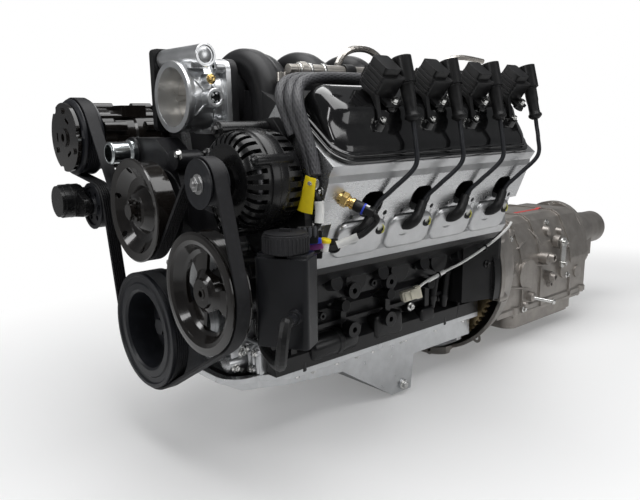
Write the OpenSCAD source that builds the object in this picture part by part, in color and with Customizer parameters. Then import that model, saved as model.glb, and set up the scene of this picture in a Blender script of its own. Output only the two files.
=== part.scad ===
// A 90 degree V8 engine with its front accessory drive and the automatic gearbox bolted behind it.
// X points to the left bank's side, Y rearwards along the crank, Z up. The origin is on the crank
// axis, at the front face of the damper's hub. Inside each module, y = 0 is the block's front face.

/* [Cylinders] */
// Distance between neighbouring cylinders of one bank
bore_spacing = 111.76; // [109:0.01:114]
// Cylinder bore
bore_d = 103.25; // [96:0.05:104]
// Piston stroke
stroke = 92; // [86:0.5:94]
// Height of each deck above the crank axis, measured along the bore
deck_height = 234.7; // [233:0.1:238]
// How far the left bank stands ahead of the right one
bank_offset = 24; // [20:0.5:28]
// From the block's front face to the first cylinder of the left bank
first_bore = 85; // [80:0.5:92]
// From the last cylinder of the right bank to the block's rear face
rear_margin = 96; // [92:1:110]

/* [Crankshaft and camshaft] */
// Diameter of the main journals
main_d = 65; // [60:0.5:68]
// Diameter of the crankpins
pin_d = 53.4; // [50:0.5:56]
// Outer radius of the counterweights
counterweight_r = 81; // [78:0.5:82]
// Height of the camshaft above the crank
cam_height = 124.8; // [122:0.1:127]
// Teeth on the crank sprocket, half of those on the cam sprocket
sprocket_teeth = 22; // [20:1:23]
// Pitch of the timing chain
chain_pitch = 9.525; // [9.3:0.005:9.7]

/* [Block and pan] */
// Half the width of the skirt at the pan rail
skirt_half = 150; // [144:1:156]
// Depth of the pan rail below the crank axis
rail_drop = 78; // [75:1:84]
// Depth of the pan's shallow front part below its rail
pan_shallow = 40; // [34:1:46]
// Depth of the pan's sump below its rail
sump_depth = 124; // [110:1:145]
// Wall of the cast pan
pan_wall = 6; // [4:0.5:8]

/* [Heads] */
// How far a head reaches beyond the middle of its end cylinders
head_overhang = 82; // [78:0.5:84]
// Width and height of an exhaust port
port_w = 48; // [42:1:52]
port_h = 42; // [38:1:46]
// Height of a valve cover above its rail
cover_h = 50; // [44:1:56]
// Wall of the valve covers
cover_wall = 3; // [2:0.5:4]

/* [Belt drive] */
// From the block's front face forwards to the middle of the belt
belt_reach = 132; // [128:1:138]
// Width of the six-rib belt
belt_w = 21.4; // [18:0.1:24]
// Thickness of the belt
belt_t = 4.5; // [4:0.1:5]
// Radii of the damper, water pump, steering, alternator, compressor and tensioner pulleys
damper_r = 94; // [90:0.5:96]
water_r = 74; // [70:0.5:77]
steer_r = 85; // [80:0.5:87]
alt_r = 31; // [28:0.5:34]
comp_r = 63; // [58:0.5:65]
tens_r = 38; // [34:0.5:40]

/* [Accessories] */
// Radius of the alternator's casing
alt_body_r = 71; // [66:0.5:73]
// Radius of the compressor's body
comp_body_r = 50; // [46:0.5:52]
// Bore of the throttle body
throttle_bore = 90; // [84:1:92]
// Outer diameter of the coolant neck
neck_d = 34; // [30:0.5:38]

/* [Gearbox] */
// Length of the gearbox from the block's rear face to the end of its tail
gearbox_length = 775; // [740:5:790]
// Outer radius of the bell housing's front rim
bell_r = 207; // [203:1:212]
// Teeth on the ring gear
ring_teeth = 84; // [60:2:100]
// Outer diameter of the output shaft
output_d = 34; // [30:0.5:38]

/* [Hidden] */
$fn = 64;
// Running clearance, radial, between a shaft and its bearing
run = 0.05;
// Clearance between bodies that pass each other, and of a casting from its seat
gap = 1;
seat = 0.3;
root2 = sqrt(2);
throw = stroke / 2;
// A rod reaches from the throw to a piston pin this far under the deck
rod_length = deck_height - throw - 33.7;
main_r = main_d / 2;
pin_r = pin_d / 2;
bore_r = bore_d / 2;
last_bore = first_bore + 3 * bore_spacing;
block_length = last_bore + bank_offset + rear_margin;
// Front face of the damper's hub, ahead of the block
nose_reach = 105;
hub_r = 44;
snout_r = 19;
// Crank: half lengths of a crankpin and a main journal, and the web between them
pin_half = 26;
main_half = 13;
web_t = bore_spacing / 2 - pin_half - main_half;
cavity_half = pin_half + web_t + 1.5;
cavity_r = counterweight_r + 7;
// Angle of each throw from +Z towards +X, the left bank's first cylinder at its top
throw_angles = [45, 135, 315, 225];
function throw_y(i) = first_bore + bank_offset / 2 + i * bore_spacing;
function main_y(i) = throw_y(i) - bore_spacing / 2;
cam_journal_r = 27.5;
cap_half = 58;
// Outline of a head across, from the deck's middle: [outwards, up], in the bank's frame
head_out = 81;
head_in = 85;
face_top = [26, 131];
cover_out = [17, 155];
cover_in = [-130, 135];
intake_top = [-129, 61];
cover_tilt = atan((cover_out[1] - cover_in[1]) / (cover_out[0] - cover_in[0]));
cover_w = norm(cover_out - cover_in);
head_front = first_bore - head_overhang;
head_rear = last_bore + head_overhang;
head_len = head_rear - head_front;
// Exhaust ports: where they lie on the face, and how far behind the cylinder's middle
port_up = 93;
port_shift = 18.4;
face_lean = atan((head_out - face_top[0]) / face_top[1]);
function face_at(h) = head_out - h * (head_out - face_top[0]) / face_top[1];
plug_up = 52;
plug_ahead = 6;
plug_r = 11.5;
plug_deep = 36;
// Intake
plenum_z = 350;
runner_r = 63;
runner_cross = 25;
runner_w = 53;
runner_h = 52;
runner_first = first_bore - 36;
intake_rear = runner_first + 7 * bore_spacing / 2 + runner_w / 2 + 8;
throttle_z = 362;
throttle_len = 66;
rail_x = 122;
rail_z = 402;
rail_r = 9;
// Accessory axes in X and Z
water_at = [0, 192.5];
steer_at = [170.6, 92];
alt_at = [185.4, 244.8];
comp_at = [-227, 300];
tens_at = [-172, 184];
pivot_at = [-214, 192];
belt_y = -belt_reach;
groove_w = belt_w / 6;
// Belt: the clearance that it keeps from a pulley, and each pulley as [x, z, radius, side]:
// side 1 turns inside the loop on the ribs, side -1 outside it on the belt's back
belt_gap = 0.5;
PULLEYS = [
    [0, 0, damper_r, 1],
    [steer_at[0], steer_at[1], steer_r, 1],
    [alt_at[0], alt_at[1], alt_r, 1],
    [water_at[0], water_at[1], water_r, -1],
    [comp_at[0], comp_at[1], comp_r, 1],
    [tens_at[0], tens_at[1], tens_r, -1]];
alt_front = -104;
steer_front = -112;
comp_front = -112;
bracket_t = 14;
// Reservoir of the steering system
tank_at = [262, -62];
tank_turn = 30;
tank_w = 76;
tank_d = 46;
tank_low = 24;
tank_high = 158;
cap_r = 31;
// Gearbox
bell_len = 150;
ring_r = bell_r - 27;
case_end = 552;
case_half = 122;
case_top = 88;
pan_rail_z = -128;
box_pan_depth = 47;
pan_from = 174;
pan_to = 506;
converter_r = 138;
flex_y = block_length + 14;

// Moves a part from the block's frame to the part's own
module place() translate([0, nose_reach, 0]) children();

// A flat outline in X and Z, as a slab from y0 back to y1
module slab(y0, y1) translate([0, y1, 0]) rotate([90, 0, 0]) linear_extrude(y1 - y0) children();

// A profile of [radius, y] points turned round the Y axis
module turned() rotate([-90, 0, 0]) rotate_extrude($fn = 96) children();

module rod_y(r, y0, y1) translate([0, y0, 0]) rotate([-90, 0, 0]) cylinder(r = r, h = y1 - y0);

module at_xz(p) translate([p[0], 0, p[1]]) children();

// A rounded rectangle about the origin
module rounded(w, h, r) {
    square([w - 2 * r, h], center = true);
    square([w, h - 2 * r], center = true);
    for (x = [-1, 1], y = [-1, 1]) translate([x * (w / 2 - r), y * (h / 2 - r)]) circle(r);
}

// A box with rounded upright edges, standing on z = 0
module rounded_box(w, d, h, r) linear_extrude(h) rounded(w, d, r);

// The side of one bank: 1 is the left, -1 the right, mirrored and set back
module bank(side) mirror([side < 0 ? 1 : 0, 0, 0]) translate([0, side < 0 ? bank_offset : 0, 0])
    children();

// In the bank's frame X points outwards along the deck and Z along the bores
module on_bank(side) bank(side) rotate([0, 45, 0]) children();

// In the cover's frame the rail is the plane z = 0, from x = 0 inwards to -cover_w
module on_cover(side) on_bank(side) translate([cover_out[0], 0, deck_height + cover_out[1]])
    rotate([0, -cover_tilt, 0]) children();

// A hexagonal bolt head with its flange, standing on z = 0
module bolt_head(r = 6, h = 6) {
    cylinder(r = r * 1.45, h = 1.6);
    cylinder(r = r * 1.15, h = h, $fn = 6);
}

// A straight round bar between two points
module bar(a, b, r) {
    d = b - a;
    translate(a) rotate([0, acos(d[2] / norm(d)), atan2(d[1], d[0])]) cylinder(r = r, h = norm(d));
}

function unit(v) = v / norm(v);

// Points of a smooth curve through the given ones, with n steps a stretch
function smooth(p, n) = [for (i = [0 : len(p) - 2]) for (k = [0 : (i == len(p) - 2 ? n : n - 1)])
    let (a = p[max(i - 1, 0)], b = p[i], c = p[i + 1], d = p[min(i + 2, len(p) - 1)], t = k / n)
    0.5 * (2 * b + (c - a) * t + (2 * a - 5 * b + 4 * c - d) * t * t
        + (3 * b - a - 3 * c + d) * t * t * t)];

// A tube of radius r and m sides along points, with its rings square to the curve
module tube(points, r, m = 8, up = [0.13, 1, 0.07]) {
    n = len(points);
    rings = [for (i = [0 : n - 1]) let (
        t = unit(points[min(i + 1, n - 1)] - points[max(i - 1, 0)]),
        u = unit(cross(t, up)), v = cross(t, u))
        for (k = [0 : m - 1]) points[i] + r * (cos(360 * k / m) * u + sin(360 * k / m) * v)];
    sides = [for (i = [0 : n - 2]) for (k = [0 : m - 1])
        [i * m + k, (i + 1) * m + k, (i + 1) * m + (k + 1) % m, i * m + (k + 1) % m]];
    ends = [[for (k = [0 : m - 1]) k], [for (k = [m - 1 : -1 : 0]) (n - 1) * m + k]];
    polyhedron(rings, concat(sides, ends), convexity = 4);
}

/* Castings of the bottom end */

// Half of the crankcase across, from the pan rail up to the valley
function case_half_outline() = [
    [skirt_half, -rail_drop], [skirt_half, -rail_drop + 26], [skirt_half - 18, -38],
    [skirt_half - 20, 8], [skirt_half + 2, 30], [skirt_half + 4, 62], [70, 150]];
function mirrored(p) = concat(p, [for (i = [len(p) - 1 : -1 : 0]) [-p[i][0], p[i][1]]]);

module engine_block() color("#1a1b1d") difference() {
    union() {
        slab(0, block_length) polygon(mirrored(case_half_outline()));
        for (side = [1, -1]) on_bank(side) slab(head_front, head_rear) polygon([
            [-40, 96], [54, 96], [head_out - 14, deck_height - 78], [head_out - 4, deck_height - 26],
            [head_out, deck_height - 20], [head_out, deck_height], [-head_in, deck_height],
            [-head_in, deck_height - 64]]);
        for (y = [[0, first_bore - 52], [block_length - 60, block_length - 24]]) slab(y[0], y[1])
            polygon([[-70, 140], [70, 140], [103, valley_z], [-103, valley_z]]);
        slab(block_length - 22, block_length) intersection() {
            circle(bell_r - 2);
            translate([-bell_r, -rail_drop + 40]) square([2 * bell_r, 179]);
        }
        for (side = [1, -1]) bank(side) block_side_details();
        block_gussets();
    }
    for (side = [1, -1], i = [0 : 3]) on_bank(side)
        translate([0, first_bore + i * bore_spacing, 0]) {
            translate([0, 0, 60]) cylinder(r = bore_r, h = deck_height);
        }
    for (i = [0 : 3]) slab(throw_y(i) - cavity_half, throw_y(i) + cavity_half) {
        circle(cavity_r);
        translate([-cavity_r, -rail_drop - 1]) square([2 * cavity_r, rail_drop + 1]);
    }
    slab(main_y(0) - main_half, main_y(4) + main_half)
        translate([-cap_half, -rail_drop - 1]) square([2 * cap_half, rail_drop + 1]);
    for (side = [1, -1]) bank(side) for (i = [0, 1], z = [-30, 40])
        translate([skirt_half - 6, main_y(1) + 8 + i * mount_gap, z]) rotate([0, 90, 0])
            cylinder(r = mount_hole_r, h = 30);
    rod_y(main_r + run, -1, block_length + 1);
    translate([0, 0, cam_height]) rod_y(cam_journal_r + run, -1, block_length - 30);
    slab(first_bore - 40, block_length - 60)
        translate([0, cam_height + 66]) square([74, 60], center = true);
}

// Bosses, ribs and core plugs that stand on the outer side of one bank's crankcase
module block_side_details() {
    for (i = [0 : 3]) {
        y = first_bore + 30 + i * bore_spacing;
        translate([skirt_half - 30, y, 52]) rotate([0, 78, 0]) cylinder(r = 13, h = 52);
        translate([skirt_half - 24, y - 56, 58]) rotate([0, 90, 0]) cylinder(r = 24, h = 34);
        translate([skirt_half - 24, y + 22, 14]) rotate([0, 84, 0]) cylinder(r = 10, h = 44);
    }
    for (i = [0 : 4]) translate([skirt_half - 26, main_y(i) - 6, -rail_drop + 6])
        cube([22, 12, 96]);
    for (z = [-20, 38]) translate([skirt_half - 26, 22, z]) cube([18, block_length - 60, 7]);
    for (i = [0 : 1]) for (z = [-30, 40])
        translate([skirt_half - 30, main_y(1) + 8 + i * mount_gap, z]) rotate([0, 90, 0])
            cylinder(r = 14, h = 46);
    for (i = [0 : 5]) translate([skirt_half - 16, 40 + i * (block_length - 80) / 5, -rail_drop])
        cylinder(r = 11, h = 30);
}
// Top of the valley between the banks
valley_z = root2 * deck_height - 111.1;
// Engine mount pad: distance between its two columns of holes, and their radius
mount_gap = 92;
mount_hole_r = 5;

// Webs that widen the block's rear end towards the bell housing
module block_gussets() for (side = [1, -1]) mirror([side < 0 ? 1 : 0, 0, 0])
    translate([0, 0, -36]) linear_extrude(142) polygon([
        [120, block_length - 96], [176, block_length - 92], [200, block_length - 8],
        [200, block_length], [120, block_length]]);

module main_caps() color("#4a4c4e") for (i = [0 : 4])
    slab(main_y(i) - main_half + 2, main_y(i) + main_half - 2) difference() {
        translate([-cap_half, -68]) square([2 * cap_half, 68]);
        circle(main_r + run);
        for (x = [-1, 1]) translate([x * (cap_half + 8), -76]) circle(26);
    }

module crankshaft() color("#8e9092") {
    for (i = [1 : 3]) rod_y(main_r, main_y(i) - main_half, main_y(i) + main_half);
    rod_y(main_r, 1, main_y(0) + main_half);
    rod_y(main_r, main_y(4) - main_half, block_length + 2);
    rod_y(48, block_length + 2, flex_y - 4);
    rod_y(snout_r, -nose_reach, 1);
    for (i = [0 : 3]) translate([0, throw_y(i), 0]) rotate([0, throw_angles[i], 0]) {
        translate([0, 0, throw]) rod_y(pin_r, -pin_half, pin_half);
        for (s = [0, 1]) mirror([0, s, 0]) slab(pin_half, pin_half + web_t) {
            translate([0, throw]) circle(pin_r + 6);
            polygon([[-pin_r - 6, throw], [pin_r + 6, throw], [main_r + 10, 0],
                [-main_r - 10, 0]]);
            circle(main_r + 10);
            intersection() {
                circle(counterweight_r);
                polygon([[-44, 12], [44, 12], [74, -34], [74, -90], [-74, -90], [-74, -34]]);
            }
        }
    }
}

module crank_damper() color("#202124") difference() {
    union() {
        turned() polygon(concat(
            [[62, -149 + 4], [66, -149 + 1], [76, -149 + 1], [78, -149 + 3], [86, -149 + 3],
             [88, -149], [damper_r - 1, -149], [damper_r, -149 + 1],
             [damper_r, belt_y - belt_w / 2]],
            [for (k = [0 : 5]) each [
                [damper_r - 2.6, belt_y - belt_w / 2 + (k + 0.5) * groove_w],
                [damper_r, belt_y - belt_w / 2 + (k + 1) * groove_w]]],
            [[damper_r, -104], [damper_r - 3, -102], [damper_r - 3, -88], [damper_r - 6, -86],
             [snout_r + 14, -86], [snout_r + 9, -84], [snout_r + 9, chain_y - 5],
             [snout_r, chain_y - 5],
             [snout_r, -nose_reach], [hub_r, -nose_reach], [hub_r + 2, -97], [62, -97]]));
        rod_y(23, -nose_reach - 7, -nose_reach);
        translate([0, -nose_reach - 7, 0]) rotate([90, 0, 0]) cylinder(r = 14, h = 10, $fn = 6);
    }
    for (k = [0 : 2]) {
        rotate([0, 35 + 120 * k, 0]) translate([0, 0, puller_r])
            rod_y(puller_hole_r, -nose_reach - 1, -nose_reach + 18);
        rotate([0, -25 + 120 * k, 0]) slab(-110, -80) difference() {
            intersection() {
                circle(61);
                polygon([[0, 0], [85, 85], [85, 120], [-85, 120], [-85, 85]]);
            }
            circle(hub_r + 4);
        }
    }
}
// Puller holes in the hub: their circle and radius
puller_r = 32;
puller_hole_r = 4.5;

// A ring of teeth: n of them on pitch radius r, each h tall
module toothed(n, r, h, share = 0.5) {
    circle(r - h / 2);
    for (k = [0 : n - 1]) rotate(360 * k / n) polygon([
        [r - h, -PI * r / n * share * 1.2], [r + h / 2, -PI * r / n * share * 0.6],
        [r + h / 2, PI * r / n * share * 0.6], [r - h, PI * r / n * share * 1.2]]);
}

chain_y = -30;
crank_pitch_r = sprocket_teeth * chain_pitch / (2 * PI);
cam_pitch_r = 2 * crank_pitch_r;
chain_half = 5;

module crank_sprocket() color("#77797c") slab(chain_y - 5, chain_y + 5) difference() {
    toothed(sprocket_teeth, crank_pitch_r, 5);
    circle(snout_r);
}

module camshaft() color("#6c6e70") translate([0, 0, cam_height]) {
    rod_y(12, chain_y + 6, 2);
    for (i = [0 : 4]) rod_y(cam_journal_r, main_y(i) - 12, main_y(i) + 12);
    rod_y(18, 2, main_y(4));
    for (i = [0 : 3], s = [-1, 1]) {
        translate([0, throw_y(i) + s * 32, 0]) rotate([0, 47 * i + 90 * s, 0]) slab(-9, 9) {
            circle(19);
            translate([0, 5]) circle(19);
        }
        translate([0, throw_y(i) + s * 12, 0]) rotate([0, 61 * i + 30 * s, 0]) slab(-9, 9) {
            circle(19);
            translate([0, 5]) circle(19);
        }
    }
}

module cam_sprocket() color("#77797c") translate([0, 0, cam_height]) {
    slab(chain_y - 5, chain_y + 5) difference() {
        toothed(2 * sprocket_teeth, cam_pitch_r, 5);
        for (k = [0 : 4]) rotate(72 * k + 20) translate([40, 0]) circle(11);
    }
    rod_y(20, chain_y - 8, chain_y + 6);
}

// The timing chain as a loop of paired plates round both sprockets
module timing_chain() color("#5a5c5e") {
    lean = asin((cam_pitch_r - crank_pitch_r) / cam_height);
    outer = chain_half + 3;
    difference() {
        slab(chain_y - 4.5, chain_y + 4.5) chain_loop(lean, outer);
        slab(chain_y - 9, chain_y + 9) chain_loop(lean, 3.4);
    }
    for (s = [-1, 1], k = [0.5 : 8]) let (
        low = crank_pitch_r * [cos(lean), -sin(lean)],
        high = cam_pitch_r * [cos(lean), -sin(lean)] + [0, cam_height],
        p = low + (high - low) * k / 9)
        translate([s * (p[0] + 5.4 * cos(lean)), 0, p[1] - 5.4 * sin(lean)])
            rod_y(2.6, chain_y - 6.5, chain_y + 6.5);
}

// The outline that wraps both sprockets at a distance d from their pitch circles
module chain_loop(lean, d) {
    a = crank_pitch_r + d;
    b = cam_pitch_r + d;
    circle(a);
    translate([0, cam_height]) circle(b);
    for (s = [0, 1]) mirror([s, 0]) polygon([
        [0, 0], a * [cos(lean), -sin(lean)], b * [cos(lean), -sin(lean)] + [0, cam_height],
        [0, cam_height]]);
}

module oil_pump() color("#9a9c9e") difference() {
    union() {
        slab(-20, 0) {
            circle(56);
            translate([-34, -rail_drop + 6]) square([46, 60]);
        }
        for (x = [-1, 1], z = [-1, 1]) translate([x * 46, 0, z * 34]) rod_y(9, -20, 0);
    }
    rod_y(snout_r + gap, -21, 1);
}

module timing_cover() color("#b9bcbe") difference() {
    union() {
        slab(-46, 0) {
            cover_front_outline();
            translate([-92, -rail_drop]) rounded_corner_plate(184, 118);
        }
        rod_y(48, -54, -40);
        for (p = FRONT_BOLTS) at_xz(p) rod_y(9, -50, 0);
        for (x = [-1, 1]) translate([x * 84, 0, -rail_drop + 18]) rod_y(13, -52, 0);
    }
    slab(-40, 1) offset_outline(-6);
    rod_y(snout_r + 9 + run * 2, -60, -30);
}
// Bolts of the timing cover, in X and Z
FRONT_BOLTS = [for (s = [-1, 1]) each [[s * 84, -36], [s * 84, 30], [s * 80, 84], [s * 76, 128]]];

module cover_front_outline() offset_outline(0);

// The timing chest in outline, grown by d
module offset_outline(d) {
    translate([0, cam_height]) circle(82 + d);
    polygon([[-82 - d, cam_height], [-88 - d, 20], [-88 - d, -rail_drop - d],
        [88 + d, -rail_drop - d], [88 + d, 20], [82 + d, cam_height]]);
}

module rounded_corner_plate(w, h) translate([w / 2, h / 2]) rounded(w, h, 8);

module pistons() color("#c4c6c8") for (side = [1, -1], i = [0 : 3]) {
    turn = throw_angles[i] - (side > 0 ? 45 : -45);
    pin_up = throw * cos(turn) + sqrt(rod_length * rod_length - pow(throw * sin(turn), 2));
    on_bank(side) translate([0, first_bore + i * bore_spacing, pin_up]) difference() {
        union() {
            translate([0, 0, -20]) cylinder(r = bore_r - 0.3, h = 22);
            for (z = [4, 11, 18]) translate([0, 0, z]) cylinder(r = bore_r - 0.3, h = 5.4);
            translate([0, 0, 2]) cylinder(r = bore_r - 4, h = 28);
            translate([0, 0, 24]) cylinder(r = bore_r - 0.6, h = 8);
        }
        translate([0, 0, -21]) cylinder(r = bore_r - 8, h = 40);
        translate([0, 0, 32]) scale(0.8) sphere(6);
        rod_y(12, -bore_r, bore_r);
    }
}

/* Heads and covers */

module head_casting(side) color("#c3c5c6") difference() {
    union() {
        on_bank(side) slab(head_front, head_rear) polygon([
            [head_out, deck_height], [head_out - 4, deck_height + 18],
            [face_at(34) - 12, deck_height + 34], [face_at(66) - 12, deck_height + 66],
            [face_at(70), deck_height + 70], [face_top[0], deck_height + face_top[1]],
            [cover_out[0] + 3, deck_height + face_top[1] + 8],
            [cover_out[0], deck_height + cover_out[1]],
            [cover_in[0], deck_height + cover_in[1]],
            [intake_top[0], deck_height + intake_top[1]], [-head_in, deck_height]]);
        for (i = [0 : 3]) {
            on_bank(side) translate([0, first_bore + i * bore_spacing, 0])
                for (s = [-1, 1]) flange_foot(s);
            at_plug(side, i) translate([0, 0, -22]) cylinder(r = plug_r + 8, h = 23);
            at_plug(side, i) translate([0, bore_spacing / 2 - 4, -22]) cylinder(r = 13, h = 20);
        }
    }
    for (i = [0 : 3]) on_bank(side) translate([0, first_bore + i * bore_spacing, 0]) {
        exhaust_port();
        for (s = [-1, 1]) translate([0, port_shift + s * 36, deck_height + 76])
            on_face() cylinder(r = port_bolt_r, h = 40, center = true);
        translate([-20, 0, deck_height - 1]) cylinder(r = bore_r - 6, h = 13);
    }
    for (i = [0 : 3]) at_plug(side, i) {
        translate([0, 0, -plug_deep]) cylinder(r = plug_r, h = plug_deep + 10);
        translate([0, bore_spacing / 2 - 4, -12]) cylinder(r = 9.5, h = 20);
    }
    on_cover(side) translate([-cover_w / 2, cover_mid, 0])
        cube([cover_w - 40, head_len - 40, 2 * chamber_depth], center = true);
    on_bank(side) for (i = [0 : 3]) translate([-head_in - 30, first_bore + i * bore_spacing, 0])
        translate([0, 0, deck_height + 34]) rotate([0, -56, 0])
            cylinder(r = 18, h = 60, center = true);
}
// Exhaust flange bolts: radius
port_bolt_r = 4.2;

// Puts z = 0 on the exhaust face with Z along its outward normal
module on_face() translate([face_at(76), 0, 0]) rotate([0, 90 - face_lean, 0]) children();

module exhaust_port() translate([face_at(port_up), port_shift, deck_height + port_up])
    rotate([0, 90 - face_lean, 0]) translate([0, 0, -34]) linear_extrude(60)
        rounded(port_h, port_w, 17);

// Depth of the valve chamber below the cover's rail
chamber_depth = 36;
// Puts z = 0 on the exhaust face at a plug, with Z along the plug, which lies level
module at_plug(side, i) on_bank(side)
    translate([face_at(plug_up), first_bore + i * bore_spacing - plug_ahead, deck_height + plug_up])
        rotate([0, 45, 0]) children();

// A foot on each side of a plug that carries the port flange down towards the deck
module flange_foot(s) translate([0, s * 44, 0]) slab(-11, 11) polygon([
    [face_at(14), deck_height + 12], [face_at(14) - 30, deck_height + 12],
    [face_at(80) - 30, deck_height + 80], [face_at(80), deck_height + 80]]);

module cylinder_head_left() head_casting(1);
module cylinder_head_right() head_casting(-1);

cover_mid = (head_front + head_rear) / 2;

// One step of a valve cover: a rounded plate or block, from z0 up to z1, drawn in by d
module cover_step(d, z0, z1, r) translate([-cover_w / 2, cover_mid, z0])
    rounded_box(cover_w - 2 * d, head_len - 10 - 2 * d, z1 - z0, r);

// The cover's dome across, drawn in by d: it slopes on the coils' side
module dome_across(d) {
    w = cover_w;
    polygon([[-14 - d, 0], [-15 - d, 14 - d * 0.5], [-21 - d, 19 - d * 0.7], [-34 - d, 25 - d * 0.8],
        [-48 - d, 32 - d * 0.8], [-58 - d * 0.7, 42 - d * 0.9], [-66 - d * 0.5, cover_h - 3 - d],
        [-74, cover_h - d], [-w + 42, cover_h - d], [-w + 26 + d * 0.4, cover_h - 3 - d],
        [-w + 17 + d * 0.8, cover_h - 12 - d * 0.5], [-w + 14 + d, cover_h - 24],
        [-w + 13 + d, 0]]);
}

module cover_dome(d) intersection() {
    slab(head_front + 14 + d, head_rear - 14 - d) dome_across(d);
    translate([-cover_w / 2, cover_mid, 0])
        rounded_box(cover_w - 26 - 2 * d, head_len - 26 - 2 * d, cover_h, 26 - d);
    rotate([0, 0, 90]) rotate([90, 0, 0]) mirror([0, 0, 1])
        linear_extrude(cover_w) polygon([
            [head_front + 13 + d, 0], [head_front + 16 + d, cover_h - 24],
            [head_front + 24 + d, cover_h - 9 - d * 0.6], [head_front + 38 + d * 0.5, cover_h - d],
            [head_rear - 38 - d * 0.5, cover_h - d], [head_rear - 24 - d, cover_h - 9 - d * 0.6],
            [head_rear - 16 - d, cover_h - 24], [head_rear - 13 - d, 0]]);
}

module valve_cover(side) color("#141416") on_cover(side) difference() {
    union() {
        cover_step(1, 0, 6, 34);
        cover_step(8, 6, 11, 30);
        cover_dome(0);
        for (i = [0 : 3], x = [coil_x, coil_x - 46])
            translate([x, coil_y(i), cover_h - 12]) cylinder(r = 9, h = 15);
        for (i = [0 : 3]) translate([coil_x + 20, coil_y(i) - 30, 16]) cylinder(r = 7, h = foot_z - 16);
        if (side < 0) translate([filler_x, filler_y, 20]) cylinder(r = 24, h = cover_h - 14);
    }
    translate([0, 0, -1]) cover_step(14 + cover_wall, 0, 12, 28);
    cover_dome(cover_wall);
    if (side < 0) translate([filler_x, filler_y, 0]) cylinder(r = 17, h = cover_h + 20);
}

// Coils and the oil filler on the cover
coil_x = -66;
// Height of the boss under a coil bracket's lower foot
foot_z = 38;
function coil_y(i) = first_bore + 55 + i * bore_spacing;
filler_x = -100;
filler_y = head_front + 58;

module valve_cover_left() valve_cover(1);
module valve_cover_right() valve_cover(-1);

// Rocker arms on their shaft stand in each head's valve chamber
module rocker_arms() color("#8b8d90") for (side = [1, -1], i = [0 : 3], s = [-1, 1])
    on_cover(side) translate([-cover_w / 2, first_bore + i * bore_spacing + s * 24, -chamber_depth]) {
        slab(-7, 7) polygon([[-30, 26], [-20, 34], [10, 36], [36, 31], [36, 26], [8, 28], [0, 25],
            [-10, 25]]);
        translate([-6, -7, 0]) cube([12, 14, 27]);
        translate([28, 0, 0]) cylinder(r = 12, h = 24);
        translate([28, 0, 23]) cylinder(r = 7, h = 4);
        translate([-25, 0, 0]) cylinder(r = 4, h = 29);
        translate([-6, -24 * s - 6, 0]) cube([12, 12, 8]);
    }

module cover_bolts() color("#c9cacc") for (side = [1, -1]) on_cover(side) {
    for (i = [0 : 3]) {
        translate([coil_x, coil_y(i), cover_h + 8]) bolt_head(5, 7);
        translate([coil_x + 21, coil_y(i) - 30, foot_z + 3]) bolt_head(3.6, 5);
    }
    for (i = [0 : 2]) translate([-96, coil_y(i) + 62, cover_h]) bolt_head(6, 6);
}

module valley_cover() color("#a9abad") slab(first_bore - 50, block_length - 50) polygon([
    [-60, valley_z], [60, valley_z], [66, valley_z + 6],
    [66, valley_z + 12], [-66, valley_z + 12], [-66, valley_z + 6]]);

/* Oil pan */

// The pan's side view from its nose round under the sump to its tail: [y, z]
pan_nose = -62;
pan_nose_depth = 22;
// Half the width of the pan's body under its rail
pan_half = skirt_half - 20;
sump_front = first_bore + 212;
sump_rear = sump_front + 54;
function pan_side(d) = [
    [pan_nose + d, -rail_drop], [pan_nose + d, -rail_drop - 12 + d],
    [pan_nose + 22, -rail_drop - pan_nose_depth + d],
    [first_bore + 80, -rail_drop - pan_shallow + d],
    [sump_front, -rail_drop - sump_depth + d], [sump_rear - d, -rail_drop - sump_depth + d],
    [sump_rear - d + 8, -rail_drop - 54 + d], [block_length - d, -rail_drop - 54 + d],
    [block_length - d, -rail_drop]];

module pan_body(half, d) rotate([0, 0, 90]) rotate([90, 0, 0]) translate([0, 0, -half])
    linear_extrude(2 * half) polygon(pan_side(d));

module oil_pan() color("#b4b7ba") {
    difference() {
        union() {
            intersection() {
                pan_body(pan_half, 0);
                pan_plan(0);
            }
            translate([0, 0, -rail_drop - 10]) linear_extrude(10) difference() {
                pan_rail_plan();
                translate([-pan_half + 10, 0]) square([2 * pan_half - 20, block_length - 20]);
            }
            for (s = [-1, 1]) {
                translate([s * 108, sump_rear - 4, -rail_drop - sump_depth + 4])
                    cylinder(r = 12, h = sump_depth - 14);
                for (y = PAN_BOLTS) translate([s * (skirt_half - 9), y, -rail_drop - 10])
                    cylinder(r = 9, h = 10);
            }
            pan_tail_flange();
        }
        intersection() {
            pan_body(pan_half - pan_wall, pan_wall);
            pan_plan(pan_wall);
        }
        translate([-pan_half + 10, pan_nose + 60, -rail_drop - 12])
            cube([2 * pan_half - 20, block_length - 100 - pan_nose, 30]);
    }
    translate([70, sump_rear - 1, -rail_drop - sump_depth + 20]) rotate([-90, 0, 0])
        bolt_head(9, 9);
}

// The pan seen from above, drawn in by d: a round nose and straight sides
module pan_plan(d) translate([0, 0, -rail_drop - sump_depth - 1]) linear_extrude(sump_depth + 20) {
    translate([0, pan_nose + 50]) rounded(2 * (skirt_half - 34 - d), 100 - 2 * d, 44 - d);
    polygon([[-skirt_half + 34 + d, pan_nose + 50], [skirt_half - 34 - d, pan_nose + 50],
        [pan_half - d, 40], [pan_half - d, block_length - d],
        [-pan_half + d, block_length - d], [-pan_half + d, 40]]);
}

module pan_rail_plan() {
    translate([0, pan_nose + 48]) rounded(2 * (skirt_half - 28), 108, 46);
    polygon([[-skirt_half + 28, pan_nose + 50], [skirt_half - 28, pan_nose + 50],
        [skirt_half, 30], [skirt_half, block_length], [-skirt_half, block_length],
        [-skirt_half, 30]]);
}

// Bolts along each side of the pan
PAN_BOLTS = [for (k = [0 : 5]) 50 + 90 * k];

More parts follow.
